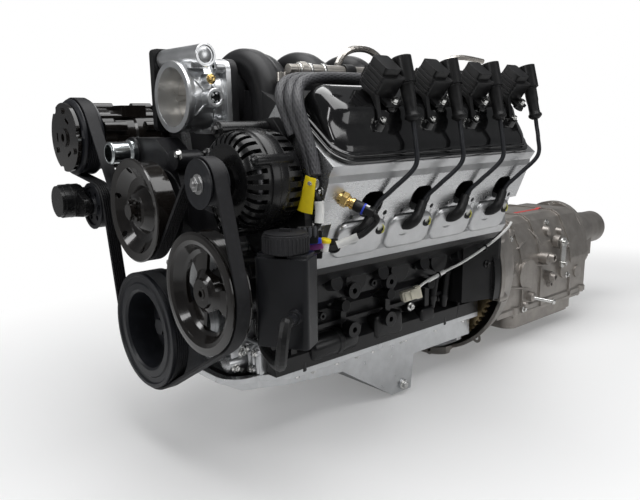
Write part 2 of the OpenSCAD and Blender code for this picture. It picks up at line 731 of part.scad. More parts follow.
// The flange at the pan's tail that bolts to the bell housing
module pan_tail_flange() slab(block_length - 16, block_length) difference() {
    intersection() {
        circle(bell_r - 22);
        translate([-110, -ring_r]) square([220, ring_r - rail_drop]);
    }
    for (x = [-1, 1]) translate([x * 78, -150]) circle(6);
}

module pan_bolts() color("#c9cacc") for (s = [-1, 1]) {
    for (y = PAN_BOLTS) translate([s * (skirt_half - 9), y, -rail_drop - 10]) mirror([0, 0, 1])
        bolt_head(4, 6);
    for (p = FRONT_BOLTS) if (sign(p[0]) == s) translate([p[0], -50, p[1]]) rotate([90, 0, 0])
        bolt_head(5, 6);
}

/* Intake */

module intake_manifold() color("#1b1b1d") difference() {
    union() {
        slab(runner_first - 24, intake_rear) plenum_outline();
        rod_y_at([0, throttle_z], 56, 0, runner_first - 20);
        slab(0, 12) translate([0, throttle_z]) rounded(116, 116, 20);
        for (k = [0 : 7]) runner(k);
        for (s = [-1, 1], k = [0 : 3])
            translate([s * 127, runner_first + 28 + k * bore_spacing, 322]) cylinder(r = 8, h = 44);
        for (s = [-1, 1], i = [0 : 3]) translate([s * rail_x, injector_y(s, i), 330])
            cylinder(r = 13, h = injector_foot - 330);
    }
    rod_y_at([0, throttle_z], throttle_bore / 2, -1, runner_first);
}
injector_foot = 366;
function injector_y(s, i) = runner_first + i * bore_spacing + (s < 0 ? bore_spacing / 2 : 0);

module rod_y_at(p, r, y0, y1) at_xz(p) rod_y(r, y0, y1);

// The plenum across: its foot rests between the heads' intake faces
function intake_face(h) = let (v = -head_in + (intake_top[0] + head_in) * h / intake_top[1] - seat,
    u = deck_height + h) [(u + v) / root2, (u - v) / root2];
module plenum_outline() {
    half = [intake_face(8), intake_face(intake_top[1] + 1), [132, 322], [136, 352], [96, 372], [0, 372]];
    polygon(concat(half, [[0, intake_face(8)[1]]]));
    mirror([1, 0]) polygon(concat(half, [[0, intake_face(8)[1]]]));
}

// One arched runner: even ones feed the left bank, odd ones the right
module runner(k) {
    s = k % 2 == 0 ? 1 : -1;
    y = runner_first + k * bore_spacing / 2;
    translate([s * runner_cross, y, plenum_z]) rotate([90, 0, 0]) rotate_extrude(angle = 180, $fn = 72)
        translate([runner_r, 0]) rounded(runner_h, runner_w, 22);
    for (x = [-1, 1]) translate([s * runner_cross + x * runner_r, y, plenum_z - 30])
        rounded_box(runner_h, runner_w, 30, 22);
}

module throttle_body() color("#cfd0d1") difference() {
    union() {
        at_xz([0, throttle_z]) turned() polygon([
            [throttle_bore / 2, -throttle_len - 8], [54, -throttle_len - 8], [55, -throttle_len - 4],
            [54, -throttle_len + 2], [50, -throttle_len + 6], [50, -20], [53, -14], [53, -2],
            [throttle_bore / 2, -2]]);
        slab(-9, 0) translate([0, throttle_z]) rounded(114, 114, 18);
        for (x = [-1, 1], z = [-1, 1]) translate([x * 45, 0, throttle_z + z * 45])
            rod_y(10, -24, 0);
        translate([-60, -46, throttle_z + 60]) rotate([0, 90, 0]) cylinder(r = 17, h = 118);
        translate([0, -46, throttle_z + 50]) cube([84, 30, 16], center = true);
        translate([36, -38, throttle_z + 26]) rotate([0, 90, 0]) cylinder(r = 8, h = 23);
        translate([44, -36, throttle_z - 2]) rotate([0, 90, 0]) cylinder(r = 14, h = 20);
        translate([-62, -40, throttle_z]) rotate([0, 90, 0]) cylinder(r = 20, h = 16);
    }
    at_xz([0, throttle_z]) rod_y(throttle_bore / 2, -throttle_len - 9, 1);
    translate([-59, -36, throttle_z]) rotate([0, 90, 0])
        cylinder(r = throttle_shaft_r + run, h = 112);
    for (x = [-1, 1], z = [-1, 1]) translate([x * 45, -30, throttle_z + z * 45])
        rod_y(3.5, 0, 40);
}
throttle_shaft_r = 5;

module throttle_plate() color("#a48a5c") translate([0, -36, throttle_z]) {
    rotate([0, 90, 0]) translate([0, 0, -54]) cylinder(r = throttle_shaft_r, h = 102);
    rod_y(throttle_bore / 2 - 0.4, -1.3, 1.3);
}

module throttle_drive_cover() color("#161618") translate([-62, -40, 0]) {
    translate([-13, 0, throttle_z - 52]) rounded_side(13, 56, 130, 8);
    translate([-26, -16, throttle_z - 4 + 22]) cube([16, 30, 26]);
    translate([-17, 8, throttle_z - 30]) rotate([0, 90, 0]) cylinder(r = 16, h = 8);
}

// A plate with rounded corners, standing in the YZ plane, w thick in X
module rounded_side(w, d, h, r) translate([0, 0, h / 2]) rotate([0, 90, 0]) linear_extrude(w)
    rounded(h, d, r);

module fuel_rails() color("#b7babc") {
    for (s = [-1, 1]) {
        translate([s * rail_x, 0, rail_z]) {
            rod_y(rail_r, runner_first + 26, intake_rear - 20);
            rod_y(rail_r + 3.5, runner_first + 34, runner_first + 44);
            rod_y(rail_r - 1, runner_first + 12, runner_first + 27);
        }
        for (i = [0 : 3]) translate([s * rail_x, injector_y(s, i), rail_z - rail_cup])
            cylinder(r = 8.5, h = 14);
        for (k = [0, 2]) translate([s * rail_x + s * 2, runner_first + 28 + k * bore_spacing, 0])
            translate([-5, -8, 366]) cube([10, 16, rail_z - 370]);
    }
    tube(smooth([[rail_x, intake_rear - 24, rail_z], [rail_x - 8, intake_rear + 2, rail_z + 8],
        [60, intake_rear + 16, rail_z + 14], [-60, intake_rear + 16, rail_z + 14],
        [-rail_x + 8, intake_rear + 2, rail_z + 8], [-rail_x, intake_rear - 24, rail_z]], 4), 5,
        up = [0, 0, 1]);
}

module injectors() color("#2a2a2c") for (s = [-1, 1], i = [0 : 3])
    translate([s * rail_x, injector_y(s, i), injector_foot]) {
        cylinder(r = 9, h = 9);
        cylinder(r = 7, h = rail_z - rail_cup - injector_foot);
        translate([s * 4 - 6, -5, 3]) cube([s * 0 + 12, 10, 8]);
        translate([s > 0 ? 0 : -18, -6, 4]) cube([18, 12, 8]);
    }
// From a rail's middle down to the mouths of its injector cups
rail_cup = 19;

/* Front accessories */

module water_pump() color("#191a1c") difference() {
    union() {
        at_xz(water_at) {
            rod_y(60, -98, -50);
            rod_y(44, -106, -98);
        }
        slab(-96, -54) polygon([[-112, 258], [-112, 292], [-100, 300], [-20, 300], [40, 262],
            [60, 214], [-60, 200]]);
        for (s = [-1, 1]) {
            slab(-90, -56) polygon([[s * 40, 176], [s * 40, 214], [s * 132, 194], [s * 132, 156],
                [s * 108, 150]]);
            translate([s * 120, 0, 174]) rod_y(20, -90, s > 0 ? head_front : head_front + bank_offset);
            translate([s * 120, 0, 174]) rod_y(27, (s > 0 ? head_front : head_front + bank_offset) - 12,
                s > 0 ? head_front : head_front + bank_offset);
        }
        translate([46, 0, 268]) rod_y(15, -104, -60);
        translate([-96, 0, 276]) rod_y(25, -100, -92);
    }
    at_xz(water_at) rod_y(13 + run, -107, -60);
}

module coolant_neck() color("#d3d5d6") translate([-96, 0, 276]) turned() polygon([
    [neck_d / 2 - 3, -141], [neck_d / 2 - 1, -141], [neck_d / 2, -140],
    [neck_d / 2, -110], [neck_d / 2 + 4, -106], [neck_d / 2 + 4, -100],
    [neck_d / 2 - 3, -100]]);

module water_pump_pulley() color("#2e2a28") {
    difference() {
        at_xz(water_at) turned() polygon([
            [0, -148], [20, -148], [26, -146], [38, -134], [50, -137], [66, -150], [78, -152],
            [80, -151], [80, -149], [water_r, -147], [water_r, belt_y + belt_w / 2 + 4],
            [water_r - 3, belt_y + belt_w / 2 + 4], [water_r - 3, -144], [64, -146], [48, -133],
            [36, -130], [24, -142], [24, -118], [0, -118]]);
        for (k = [0 : 5]) at_xz(water_at) rotate([0, 18 + 60 * k, 0]) translate([62, 0, 0])
            rod_y(4.5, -160, -130);
    }
    at_xz(water_at) {
        rod_y(13, -119, -62);
        rod_y(11, -160, -147);
        for (k = [0 : 3]) rotate([0, 45 + 90 * k, 0]) translate([16, -147.5, 0]) rotate([90, 0, 0])
            bolt_head(4, 6);
    }
}

module slot_ring(r, n, w, l, y0, y1) for (k = [0 : n - 1]) rotate([0, 360 * k / n, 0])
    translate([r, 0, 0]) slab(y0, y1) rounded(l, w, w / 2 - 0.01);

module alternator() color("#17181a") at_xz(alt_at) difference() {
    union() {
        turned() polygon([
            [0, alt_front + 3], [24, alt_front + 3], [26, alt_front], [48, alt_front],
            [60, alt_front + 6], [alt_body_r - 3, alt_front + 16], [alt_body_r - 3, alt_front + 30],
            [alt_body_r, alt_front + 31], [alt_body_r, -48], [alt_body_r - 2, -46],
            [alt_body_r - 2, -30], [alt_body_r - 12, -bracket_t], [0, -bracket_t]]);
        for (a = [110, 250]) rotate([0, a, 0]) translate([alt_body_r + 2, 0, 0])
            rod_y(12, alt_front + 12, -bracket_t);
        for (k = [0 : 3]) rotate([0, 20 + 90 * k, 0]) translate([alt_body_r - 3, 0, 0])
            rod_y(6, alt_front + 14, -34);
    }
    slot_ring(46, 18, 7, 26, alt_front - 1, alt_front + 14);
    for (k = [0 : 17]) rotate([0, 20 * k + 10, 0]) translate([alt_body_r, alt_front + 22, 0])
        cube([16, 13, 8], center = true);
    for (k = [0 : 17]) rotate([0, 20 * k + 10, 0]) translate([alt_body_r, -38, 0])
        cube([12, 12, 9], center = true);
    rod_y(9 + run, alt_front - 1, -40);
}

// A grooved pulley's rim profile: flanges and six grooves round radius r
function grooved(r) = concat([[r + 2.5, belt_y - belt_w / 2 - 4], [r + 2.5, belt_y - belt_w / 2 - 2],
    [r, belt_y - belt_w / 2]],
    [for (k = [0 : 5]) each [[r - 2.6, belt_y - belt_w / 2 + (k + 0.5) * groove_w],
        [r, belt_y - belt_w / 2 + (k + 1) * groove_w]]],
    [[r + 2.5, belt_y + belt_w / 2 + 2], [r + 2.5, belt_y + belt_w / 2 + 4]]);

module alternator_pulley() color("#1c1c1e") at_xz(alt_at) {
    turned() polygon(concat([[9, -146]], [[alt_r - 6, -146]], grooved(alt_r), [[9, -117]]));
    rod_y(9, -142, -44);
    translate([0, -142, 0]) rotate([90, 0, 0]) cylinder(r = 8, h = 3, $fn = 6);
}

module steering_pump() color("#26272a") at_xz(steer_at) difference() {
    union() {
        rod_y(43, -92, -bracket_t);
        rod_y(30, steer_front + 6, -92);
        translate([26, 0, 26]) rod_y(15, -84, -bracket_t);
        translate([22, -58, -22]) rotate([0, 180, 0]) cylinder(r = 8, h = 34);
        for (a = [75, 195, 300]) rotate([0, a, 0]) translate([44, 0, 0]) rod_y(9, -92, -60);
    }
    rod_y(9 + run, steer_front, -40);
}

module steering_pulley() color("#1a1a1b") at_xz(steer_at) {
    difference() {
        turned() polygon(concat(
            [[9, -142], [20, -142], [22, -138], [34, -132], [56, -130], [62, -134], [70, -146],
             [76, -148], [steer_r - 2, -147.5]], grooved(steer_r),
            [[steer_r - 6, belt_y + belt_w / 2 + 4], [steer_r - 7, -142], [73, -142],
             [66, -130], [60, -125], [34, -127], [22, -120], [22, -116], [9, -116]]));
        for (k = [0 : 2]) rotate([0, 120 * k - 50, 0]) slab(-160, -120) intersection() {
            difference() {
                circle(58);
                circle(28);
            }
            polygon([[0, 0], [62, -46], [90, 0], [62, 46]]);
        }
    }
    difference() {
        rod_y(9, -143, -44);
        rod_y(5, -144, -128);
    }
}

module tank_frame() translate([tank_at[0], tank_at[1], 0]) rotate([0, 0, tank_turn]) children();

module steering_reservoir() color("#19191b") tank_frame() difference() {
    union() {
        translate([0, 0, tank_low]) rounded_box(tank_w, tank_d, tank_high - tank_low - 10, 7);
        translate([0, 0, tank_high - 11]) rounded_box(tank_w - 5, tank_d - 5, 6, 6);
        translate([0, 0, tank_high - 6]) cylinder(r = cap_r - 5, h = 17.5 - seat);
        translate([tank_w / 2 - 18, 0, tank_low + 46]) rotate([90, 0, 0]) {
            cylinder(r = 10, h = tank_d / 2 + 6);
            cylinder(r = 6.5, h = tank_d / 2 + 24);
        }
        translate([-tank_w / 2 - 3, -8, tank_low + 30]) cube([6, 16, 70]);
    }
    translate([0, 0, tank_low + 4]) rounded_box(tank_w - 6, tank_d - 6, tank_high - tank_low - 19, 5);
    translate([0, 0, tank_high - 20]) cylinder(r = cap_r - 9, h = 40);
}

module reservoir_cap() color("#232325") tank_frame() translate([0, 0, tank_high - 4])
    difference() {
        union() {
            cylinder(r = cap_r, h = 24);
            for (k = [0 : 35]) rotate(10 * k) translate([cap_r, 0, 1]) cylinder(r = 1.3, h = 20, $fn = 6);
            translate([0, 0, 24]) cylinder(r = cap_r - 2, h = 2.5);
            translate([-8, -2.5, 24]) cube([16, 5, 7]);
        }
        translate([0, 0, -1]) cylinder(r = cap_r - 4.6, h = 16.5);
    }

module steering_hose() color("#151516") tube(smooth(concat([for (d = [0, 4, 10]) barb_tip + d * barb_way],
    HOSE_POINTS, [for (d = [10, 4, 0]) pump_port + d * port_way]), 4), 8, up = [0.8, 0.6, 0]);
// The reservoir's barb, the pump's port, and the hose's way between them
barb_tip = [tank_at[0] + (tank_w / 2 - 18) * cos(tank_turn) + (tank_d / 2 + 24) * sin(tank_turn),
    tank_at[1] + (tank_w / 2 - 18) * sin(tank_turn) - (tank_d / 2 + 24) * cos(tank_turn),
    tank_low + 46];
pump_port = [steer_at[0] + 22, -58, steer_at[1] - 22 - 34];
barb_way = [sin(tank_turn), -cos(tank_turn), 0];
port_way = [0, 0, -1];
HOSE_POINTS = [[312, -110, 48], [302, -106, 20], [278, -90, 2], [242, -74, -4], [206, -61, 2]];

module compressor() color("#18181a") at_xz(comp_at) difference() {
    union() {
        turned() polygon([
            [0, comp_front + 2], [30, comp_front + 2], [34, comp_front], [comp_body_r - 4, comp_front],
            [comp_body_r, comp_front + 6], [comp_body_r, comp_front + 26],
            [comp_body_r - 3, comp_front + 30], [comp_body_r - 3, comp_front + 64],
            [comp_body_r, comp_front + 68], [comp_body_r, 0], [comp_body_r - 6, 8], [0, 8]]);
        for (a = [20, 95, 200, 290]) rotate([0, -a, 0]) translate([comp_body_r, 0, 0]) {
            rod_y(9, comp_front + 4, comp_front + 44);
            rod_y(9, -30, 8);
        }
        rod_y(26 - run, -148, comp_front + 10);
        translate([20, -46, comp_body_r - 6]) cube([40, 46, 20], center = true);
        for (k = [0 : 5]) rotate([0, 15 + 60 * k, 0]) translate([comp_body_r - 1, 0, 0])
            rod_y(5, comp_front + 2, -4);
    }
    rod_y(9 + run, -149, -20);
}

module compressor_pulley() color("#1b1b1d") at_xz(comp_at) difference() {
    turned() polygon(concat([[26, -150], [comp_r - 8, -150], [comp_r - 6, -152], [comp_r, -150]],
        grooved(comp_r), [[comp_r, -114], [26, -114]]));
    slab(-151, -146) difference() {
        circle(comp_r - 12);
        circle(34);
    }
}

module compressor_clutch() color("#2b2a28") at_xz(comp_at) {
    difference() {
        slab(-160, -154) difference() {
            circle(comp_r - 4);
            for (k = [0 : 2]) rotate(120 * k + 8) translate([comp_r - 1, 0]) circle(9);
            for (k = [0 : 2]) rotate(120 * k + 60) translate([comp_r - 31, 0]) rounded(6, 17, 2.9);
        }
        rod_y(7, -161, -150);
    }
    slab(-163, -160) difference() {
        circle(16);
        circle(7);
    }
    for (k = [0 : 2]) rotate([0, 120 * k + 30, 0]) translate([comp_r - 18, 0, 0]) rod_y(5, -163, -153);
    rod_y(9, -156, -24);
}

module tensioner_base() color("#1b1b1d") {
    at_xz(pivot_at) {
        rod_y(27, -150, -147);
        rod_y(8, -168, -150);
    }
    slab(-150, -147) polygon([[post_at[0] - 16, post_at[1] - 4], [pivot_at[0], pivot_at[1] - 26],
        [pivot_at[0], pivot_at[1] + 26], [post_at[0], post_at[1] + 17]]);
    at_xz(post_at) rod_y(17, -150, 8);
    slab(-60, -48) polygon([[post_at[0] - 12, post_at[1] + 12], [post_at[0] + 14, post_at[1] - 10],
        [-190, 214], [-196, 232]]);
}
// The tensioner's post stands outside its pulley
post_at = [pivot_at[0] - 20, pivot_at[1] + 3];

module tensioner_arm() color("#202022") difference() {
    union() {
        at_xz(pivot_at) {
            rod_y(29, -182, -151);
            rod_y(27, -188, -182);
            rod_y(29.5, -168, -164);
        }
        slab(-163, -151) polygon([
            [pivot_at[0], pivot_at[1] + 29], [tens_at[0] + 2, tens_at[1] + 17],
            [tens_at[0] + 2, tens_at[1] - 17], [pivot_at[0], pivot_at[1] - 29]]);
        at_xz(tens_at) rod_y(17, -163, -151);
        at_xz(tens_at) rod_y(8, -151, -118);
    }
    at_xz(pivot_at) rod_y(8 + run, -169, -150);
}

module tensioner_pulley() color("#232325") at_xz(tens_at) difference() {
    turned() polygon([
        [8 + run, -146], [14, -146], [16, -142], [tens_r - 6, -142], [tens_r - 4, -145],
        [tens_r + 2, -145], [tens_r + 2, -143.5], [tens_r, -143], [tens_r, -121],
        [tens_r + 2, -120.5], [tens_r + 2, -119], [tens_r - 4, -119], [tens_r - 6, -122],
        [16, -122], [14, -119], [8 + run, -119]]);
    for (k = [0 : 5]) rotate([0, 60 * k, 0]) translate([23, 0, 0]) rod_y(4.5, -150, -110);
}

// The direction of the belt's straight run from one pulley to the next
function run_angle(i) = let (a = PULLEYS[i], b = PULLEYS[(i + 1) % len(PULLEYS)],
    d = [b[0] - a[0], b[1] - a[1]], ra = a[3] * belt_line(a), rb = b[3] * belt_line(b))
    atan2(d[1], d[0]) + asin((ra - rb) / norm(d));
function belt_line(p) = p[2] + belt_gap + belt_t / 2;
// An angle brought into the stretch from 0 up to 360
function wrapped(a) = a - 360 * floor(a / 360);
// The belt's edge, off outwards from its middle line: an arc on each pulley
function belt_edge(off) = [for (i = [0 : len(PULLEYS) - 1]) let (p = PULLEYS[i],
    from = run_angle((i + len(PULLEYS) - 1) % len(PULLEYS)), to = run_angle(i),
    sweep = p[3] > 0 ? wrapped(to - from) : -wrapped(from - to),
    n = max(3, ceil(abs(sweep) / 7)), r = belt_line(p) + p[3] * off)
    for (k = [0 : n]) let (a = from + sweep * k / n - 90 * p[3])
        [p[0] + r * cos(a), p[1] + r * sin(a)]];

module drive_belt() color("#2c2c2f") slab(belt_y - belt_w / 2, belt_y + belt_w / 2) difference() {
    polygon(belt_edge(belt_t / 2));
    polygon(belt_edge(-belt_t / 2));
}

module accessory_bracket() color("#222326") {
    slab(-bracket_t, 0) difference() {
        polygon([[150, 60], [188, 44], [226, 66], [244, 112], [246, 190], [240, 236], [216, 262],
            [200, 306], [176, 330], [148, 326], [142, 300], [146, 216], [168, 190], [164, 160],
            [146, 120]]);
        translate([206, 160]) circle(15);
        translate([186, 236]) circle(20);
    }
    for (p = [[160, 226], [226, 206], [160, 313]]) at_xz(p) rod_y(12, 0, head_front);
    translate([232, 0, 112]) rod_y(10, -bracket_t - 24, 0);
}

module compressor_bracket() color("#1d1e20") {
    slab(8, head_front + bank_offset) difference() {
        polygon([[-142, 204], [-158, 192], [-214, 184], [-246, 178], [-262, 206], [-256, 240],
            [-282, 296], [-262, 350], [-214, 356], [-160, 330], [-146, 260]]);
        translate([-176, 300]) circle(14);
        translate([-190, 240]) circle(15);
        translate([-222, 232]) circle(11);
    }
}

/* Ignition and wiring */

// One coil, with its bracket's feet and its tower
module coil() {
    difference() {
        union() {
            translate([coil_x - 50, -34, cover_h + 6]) rounded_side_box(40, 46, 34);
            translate([coil_x - 52, -30, cover_h + 38]) rounded_side_box(36, 32, 14);
        }
        for (k = [0 : 3]) translate([coil_x - 54, -36, cover_h + 12 + 7 * k]) cube([46, 4, 3]);
    }
    translate([coil_x - 23, -4, cover_h + 5.5]) cube([58, 30, 5], center = true);
    translate([coil_x - 60, -24, cover_h + 12]) cube([12, 24, 18]);
    for (x = [0, -46]) translate([coil_x + x, 0, cover_h + 3]) cylinder(r = 8, h = 5);
    slab(-34, -26) polygon([[coil_x + 12.5, foot_z], [coil_x + 28, foot_z], [coil_x + 28, foot_z + 3],
        [coil_x + 14, foot_z + 3], [coil_x - 12, cover_h + 14], [coil_x - 16, cover_h + 14],
        [coil_x - 16, cover_h + 6], [coil_x - 7, cover_h + 2], [coil_x + 6, foot_z + 7.5]]);
    difference() {
        bar(boot_top, boot_top + 0.42 * (boot_low - boot_top), 15);
        bar(boot_top + 0.3 * (boot_low - boot_top), boot_low, 10.5);
    }
    translate([coil_x - 44, 8, cover_h + 22]) cube([20, 10, 24]);
}

module rounded_side_box(w, d, h) translate([w / 2, d / 2, 0]) rounded_box(w, d, h, 4);

// The boot on a coil's tower, in the cover's frame about the coil's bolt
boot_top = [-112, 24, 104];
boot_low = [-38, 24, 48];

module coils(side) color("#161618") on_cover(side) for (i = [0 : 3])
    translate([0, coil_y(i), 0]) coil();

module coils_left() coils(1);
module coils_right() coils(-1);

// A point of the cover's frame in the bank's own X and Z, and one of the bank's frame
function from_bank(p) = [(p[0] + p[2]) / root2, p[1], (p[2] - p[0]) / root2];
function from_cover(p) = from_bank([
    cover_out[0] + p[0] * cos(cover_tilt) - p[2] * sin(cover_tilt), p[1],
    deck_height + cover_out[1] + p[0] * sin(cover_tilt) + p[2] * cos(cover_tilt)]);

// A plug lead: the coil's boot, the wire and the plug's boot
module plug_lead(i) {
    top = from_cover([boot_top[0], coil_y(i) + boot_top[1], boot_top[2]]);
    low = from_cover([boot_low[0], coil_y(i) + boot_low[1], boot_low[2]]);
    joint = top + 0.42 * (low - top);
    hole = from_bank([face_at(plug_up), first_bore + i * bore_spacing - plug_ahead,
        deck_height + plug_up]);
    elbow = hole + [22, 0, 0];
    leg = elbow + [-2, 27, 35];
    bar(joint, low, 10.3);
    bar(low - 6 * unit(low - joint), low + 3 * unit(low - joint), 12);
    bar(hole + [plug_tip - plug_deep, 0, 0], elbow, 9);
    translate(elbow) sphere(9);
    bar(elbow, leg, 9);
    tube(smooth([low, low + [9, -2, -34], low + [14, -12, -66], leg + [16, 26, 30],
        leg + [4, 9, 12], leg - 2 * unit(leg - elbow)], 4), lead_r, m = 8, up = [1, 0.1, 0.3]);
}

lead_r = 3.6;
// From the bottom of a plug's hole to the plug's tip, where the boot begins
plug_tip = 30;

module plug_leads(side) color("#232326") bank(side) for (i = [0 : 3]) plug_lead(i);
module plug_leads_left() plug_leads(1);
module plug_leads_right() plug_leads(-1);

module spark_plugs() color("#dcdcd8") for (side = [1, -1], i = [0 : 3])
    at_plug(side, i) translate([0, 0, -plug_deep]) {
        cylinder(r = 10, h = 3);
        cylinder(r = 9.2, h = 12, $fn = 6);
        cylinder(r = 5, h = plug_tip);
    }

// The wiring's braided bundles, along the left cover and down in front of its head
LOOM = [
    [[170, 430, 388], [170, 300, 388], [169, 190, 388], [168, 110, 388], [171, 62, 386],
     [180, 30, 381], [194, 8, 371], [208, -5, 352], [220, -6, 328], [233, -6, 302],
     [247, -7, 274], [258, -9, 246]],
    [[155, 430, 389], [155, 300, 389], [154, 190, 389], [153, 110, 389], [156, 60, 388],
     [163, 30, 383], [173, 8, 373], [186, -5, 354], [199, -5, 330], [213, -5, 304]],
    [[185, 290, 388], [185, 200, 388], [184, 110, 388], [187, 64, 386], [196, 30, 379],
     [210, 8, 367], [226, -6, 348], [238, -7, 322], [249, -7, 296], [259, -8, 272],
     [266, -10, 252]]];
loom_r = 8;

module wiring_loom() color("#1f1f22") for (p = LOOM) tube(smooth(p, 3), loom_r, m = 8,
    up = [1, 0.1, 0.2]);

module vent_pipes() color("#a8a5a0") {
    tube(smooth([[74, 205, 373], [74, 206, 410], [74, 228, 438], [74, 265, 447], [74, 303, 439],
        [75, 335, 410], [75, 336, 373]], 4), 6, up = [1, 0, 0.1]);
    tube(smooth([[rail_x, 446, rail_z + rail_r + seat], [rail_x, 446, 424], [126, 454, 435],
        [134, 484, 438], [146, 530, 432]], 3), 5, up = [1, 0, 0.2]);
}

module oil_filler_cap() color("#18181a") on_cover(-1)
    translate([filler_x, filler_y, cover_h + 6 + seat]) {
        cylinder(r = 25, h = 12);
        translate([0, 0, 12]) cylinder(r = 22, h = 3);
        translate([-20, -4, 12]) cube([40, 8, 8]);
        translate([0, 0, -14]) cylinder(r = 16.5, h = 14);
    }

/* Gearbox */

module flexplate() color("#6b5a3c") translate([0, flex_y, 0]) {
    slab(-4, 4) difference() {
        toothed(ring_teeth, ring_r - 3, 6, 0.55);
        circle(ring_r - 16);
    }
    slab(-2, 1) difference() {
        circle(ring_r - 15);
        for (k = [0 : 5]) rotate(60 * k) translate([96, 0]) circle(24);
    }
    rod_y(30, -4, 2);
}

module torque_converter() color("#5d5f62") translate([0, flex_y, 0]) turned() polygon([
    [0, 2], [28, 2], [60, 12], [120, 16], [converter_r, 26], [converter_r, 66], [126, 84],
    [80, 104], [34, 110], [30, 118], [30, 128], [0, 128]]);

module case_section(d = 0) polygon([
    [-case_half - 4 + d, pan_rail_z], [-case_half - 4 + d, pan_rail_z + 12],
    [-case_half + d, pan_rail_z + 16], [-case_half + d, -30], [-case_half + 12 + d, 24],
    [-case_half + 40 + d, case_top - 12 - d], [-case_half + 62 + d, case_top - d],
    [case_half - 62 - d, case_top - d], [case_half - 40 - d, case_top - 12 - d],
    [case_half - 12 - d, 24], [case_half - d, -30], [case_half - d, pan_rail_z + 16],
    [case_half + 4 - d, pan_rail_z + 12], [case_half + 4 - d, pan_rail_z]]);

module gearbox_case() color("#9b9894") translate([0, block_length, 0]) difference() {
    union() {
        turned() polygon([
            [0, 0], [bell_r, 0], [bell_r, 12], [bell_r - 6, 16], [bell_r - 20, 70],
            [bell_r - 48, 118], [132, bell_len], [116, bell_len + 12], [0, bell_len + 12]]);
        slab(bell_len - 40, pan_to + 8) case_section();
        slab(pan_to, case_end) intersection() {
            case_section(12);
            circle(118);
        }
        slab(case_end - 10, case_end) circle(tail_r + 12);
        for (k = [0 : 5]) rotate([0, 60 * k + 30, 0]) translate([tail_r, 0, 0])
            rod_y(9, case_end - 34, case_end);
        for (k = [0 : 9]) rotate([0, 36 * k + 12, 0]) translate([bell_r - 9, 0, 0]) rod_y(11, 0, 26);
        case_side_details();
    }
    turned() polygon([
        [0, -1], [bell_r - 16, -1], [bell_r - 16, 26], [bell_r - 30, 66], [bell_r - 58, 112],
        [118, bell_len - 8], [0, bell_len - 8]]);
    for (s = [-1, 1]) translate([s * 140 - 70, -1, -bell_r - 20]) cube([140, 26, bell_r - 26]);
    rod_y(30, case_end - 120, case_end + 10);
    rod_y(34, 60, bell_len + 20);
    for (k = [0 : 9]) rotate([0, 36 * k + 12, 0]) translate([bell_r - 9, 0, 0]) rod_y(5, -1, 27);
    translate([case_half - 20, shift_y, shift_z]) rotate([0, 90, 0])
        cylinder(r = 7 + run, h = 60);
}
// Bolt circle of the tail on the case, and the tail's mount pad with its two holes
tail_r = 84;
pad_z = -66;
pad_gap = 64;
pad_hole_r = 5.5;

// Bosses, cooler ports and webs on the gearbox's left side
module case_side_details() {
    for (a = [-32, 4, 40]) rotate([0, a, 0]) slab_rib();
    translate([case_half - 12, 300, -10]) rotate([0, 90, 0]) cylinder(r = 15, h = 30);
    translate([case_half - 10, 318, -56]) rotate([0, 90, 0]) cylinder(r = 12, h = 28);
    translate([case_half - 12, 232, -40]) rotate([0, 90, 0]) cylinder(r = 36, h = 18);
    translate([case_half - 14, 400, -52]) rotate([0, 90, 0]) cylinder(r = 24, h = 22);
    translate([case_half - 10, 470, -70]) rotate([0, 90, 0]) cylinder(r = 16, h = 14);
    translate([case_half - 10, shift_y, shift_z]) rotate([0, 90, 0]) cylinder(r = 17, h = 16);
    translate([-case_half - 8, 300, -40]) rotate([0, 90, 0]) cylinder(r = 34, h = 18);
    for (y = [210, 290, 430]) translate([0, y, 0]) slab(0, 6) difference() {
        case_section(-4);
        case_section(3);
    }
    for (s = [-1, 1], y = [pan_from + 12, pan_to - 12]) translate([s * (case_half - 2), y, pan_rail_z])
        cylinder(r = 11, h = 16);
}

// A web along the bell's slope onto the case
module slab_rib() translate([0, 0, -4]) linear_extrude(8) polygon([
    [120, 60], [bell_r - 14, 46], [bell_r - 40, 112], [138, bell_len + 4], [112, 214], [100, 214]]);

shift_y = 372;
shift_z = 20;

module shift_lever() color("#b0aea9") translate([case_half + 6, block_length + shift_y, shift_z]) {
    translate([-18, 0, 0]) rotate([0, 90, 0]) cylinder(r = 7, h = 32);
    translate([4, 0, 0]) rotate([0, 90, 0]) linear_extrude(5) {
        circle(13);
        translate([0, -11]) square([52, 22]);
        translate([52, 0]) circle(11);
    }
    translate([4, 0, -52]) rotate([0, 90, 0]) cylinder(r = 5, h = 14);
}

module gearbox_tail() color("#94918d") translate([0, block_length, 0]) {
    difference() {
        turned() polygon([
            [output_d / 2 + 6, case_end], [tail_r + 12, case_end], [tail_r + 12, case_end + 9],
            [tail_r - 8, case_end + 13], [66, case_end + 30], [56, case_end + 90],
            [50, case_end + 130], [46, gearbox_length - 40], [46, gearbox_length - 4],
            [42, gearbox_length], [output_d / 2 + 4, gearbox_length],
            [output_d / 2 + run, gearbox_length - 4], [output_d / 2 + run, gearbox_length - 60],
            [output_d / 2 + 6, gearbox_length - 64]]);
    }
    for (k = [0 : 5]) rotate([0, 60 * k + 30, 0]) translate([tail_r, case_end + 8, 0])
        rotate([-90, 0, 0]) bolt_head(5, 8);
    difference() {
        translate([-pad_gap / 2 - 14, case_end + 80, pad_z]) cube([pad_gap + 28, 60, -pad_z - 20]);
        translate([0, case_end, 0]) rod_y(38, 0, 200);
        for (x = [-1, 1]) translate([x * pad_gap / 2, case_end + 110, pad_z - 1])
            cylinder(r = pad_hole_r, h = 17);
    }
}

module output_shaft() color("#8d8f91") translate([0, block_length, 0]) {
    rod_y(output_d / 2, case_end - 60, gearbox_length + 1);
    rod_y(output_d / 2 - 1, gearbox_length + 1, gearbox_length + 11);
    rod_y(29, case_end - 110, case_end - 40);
}

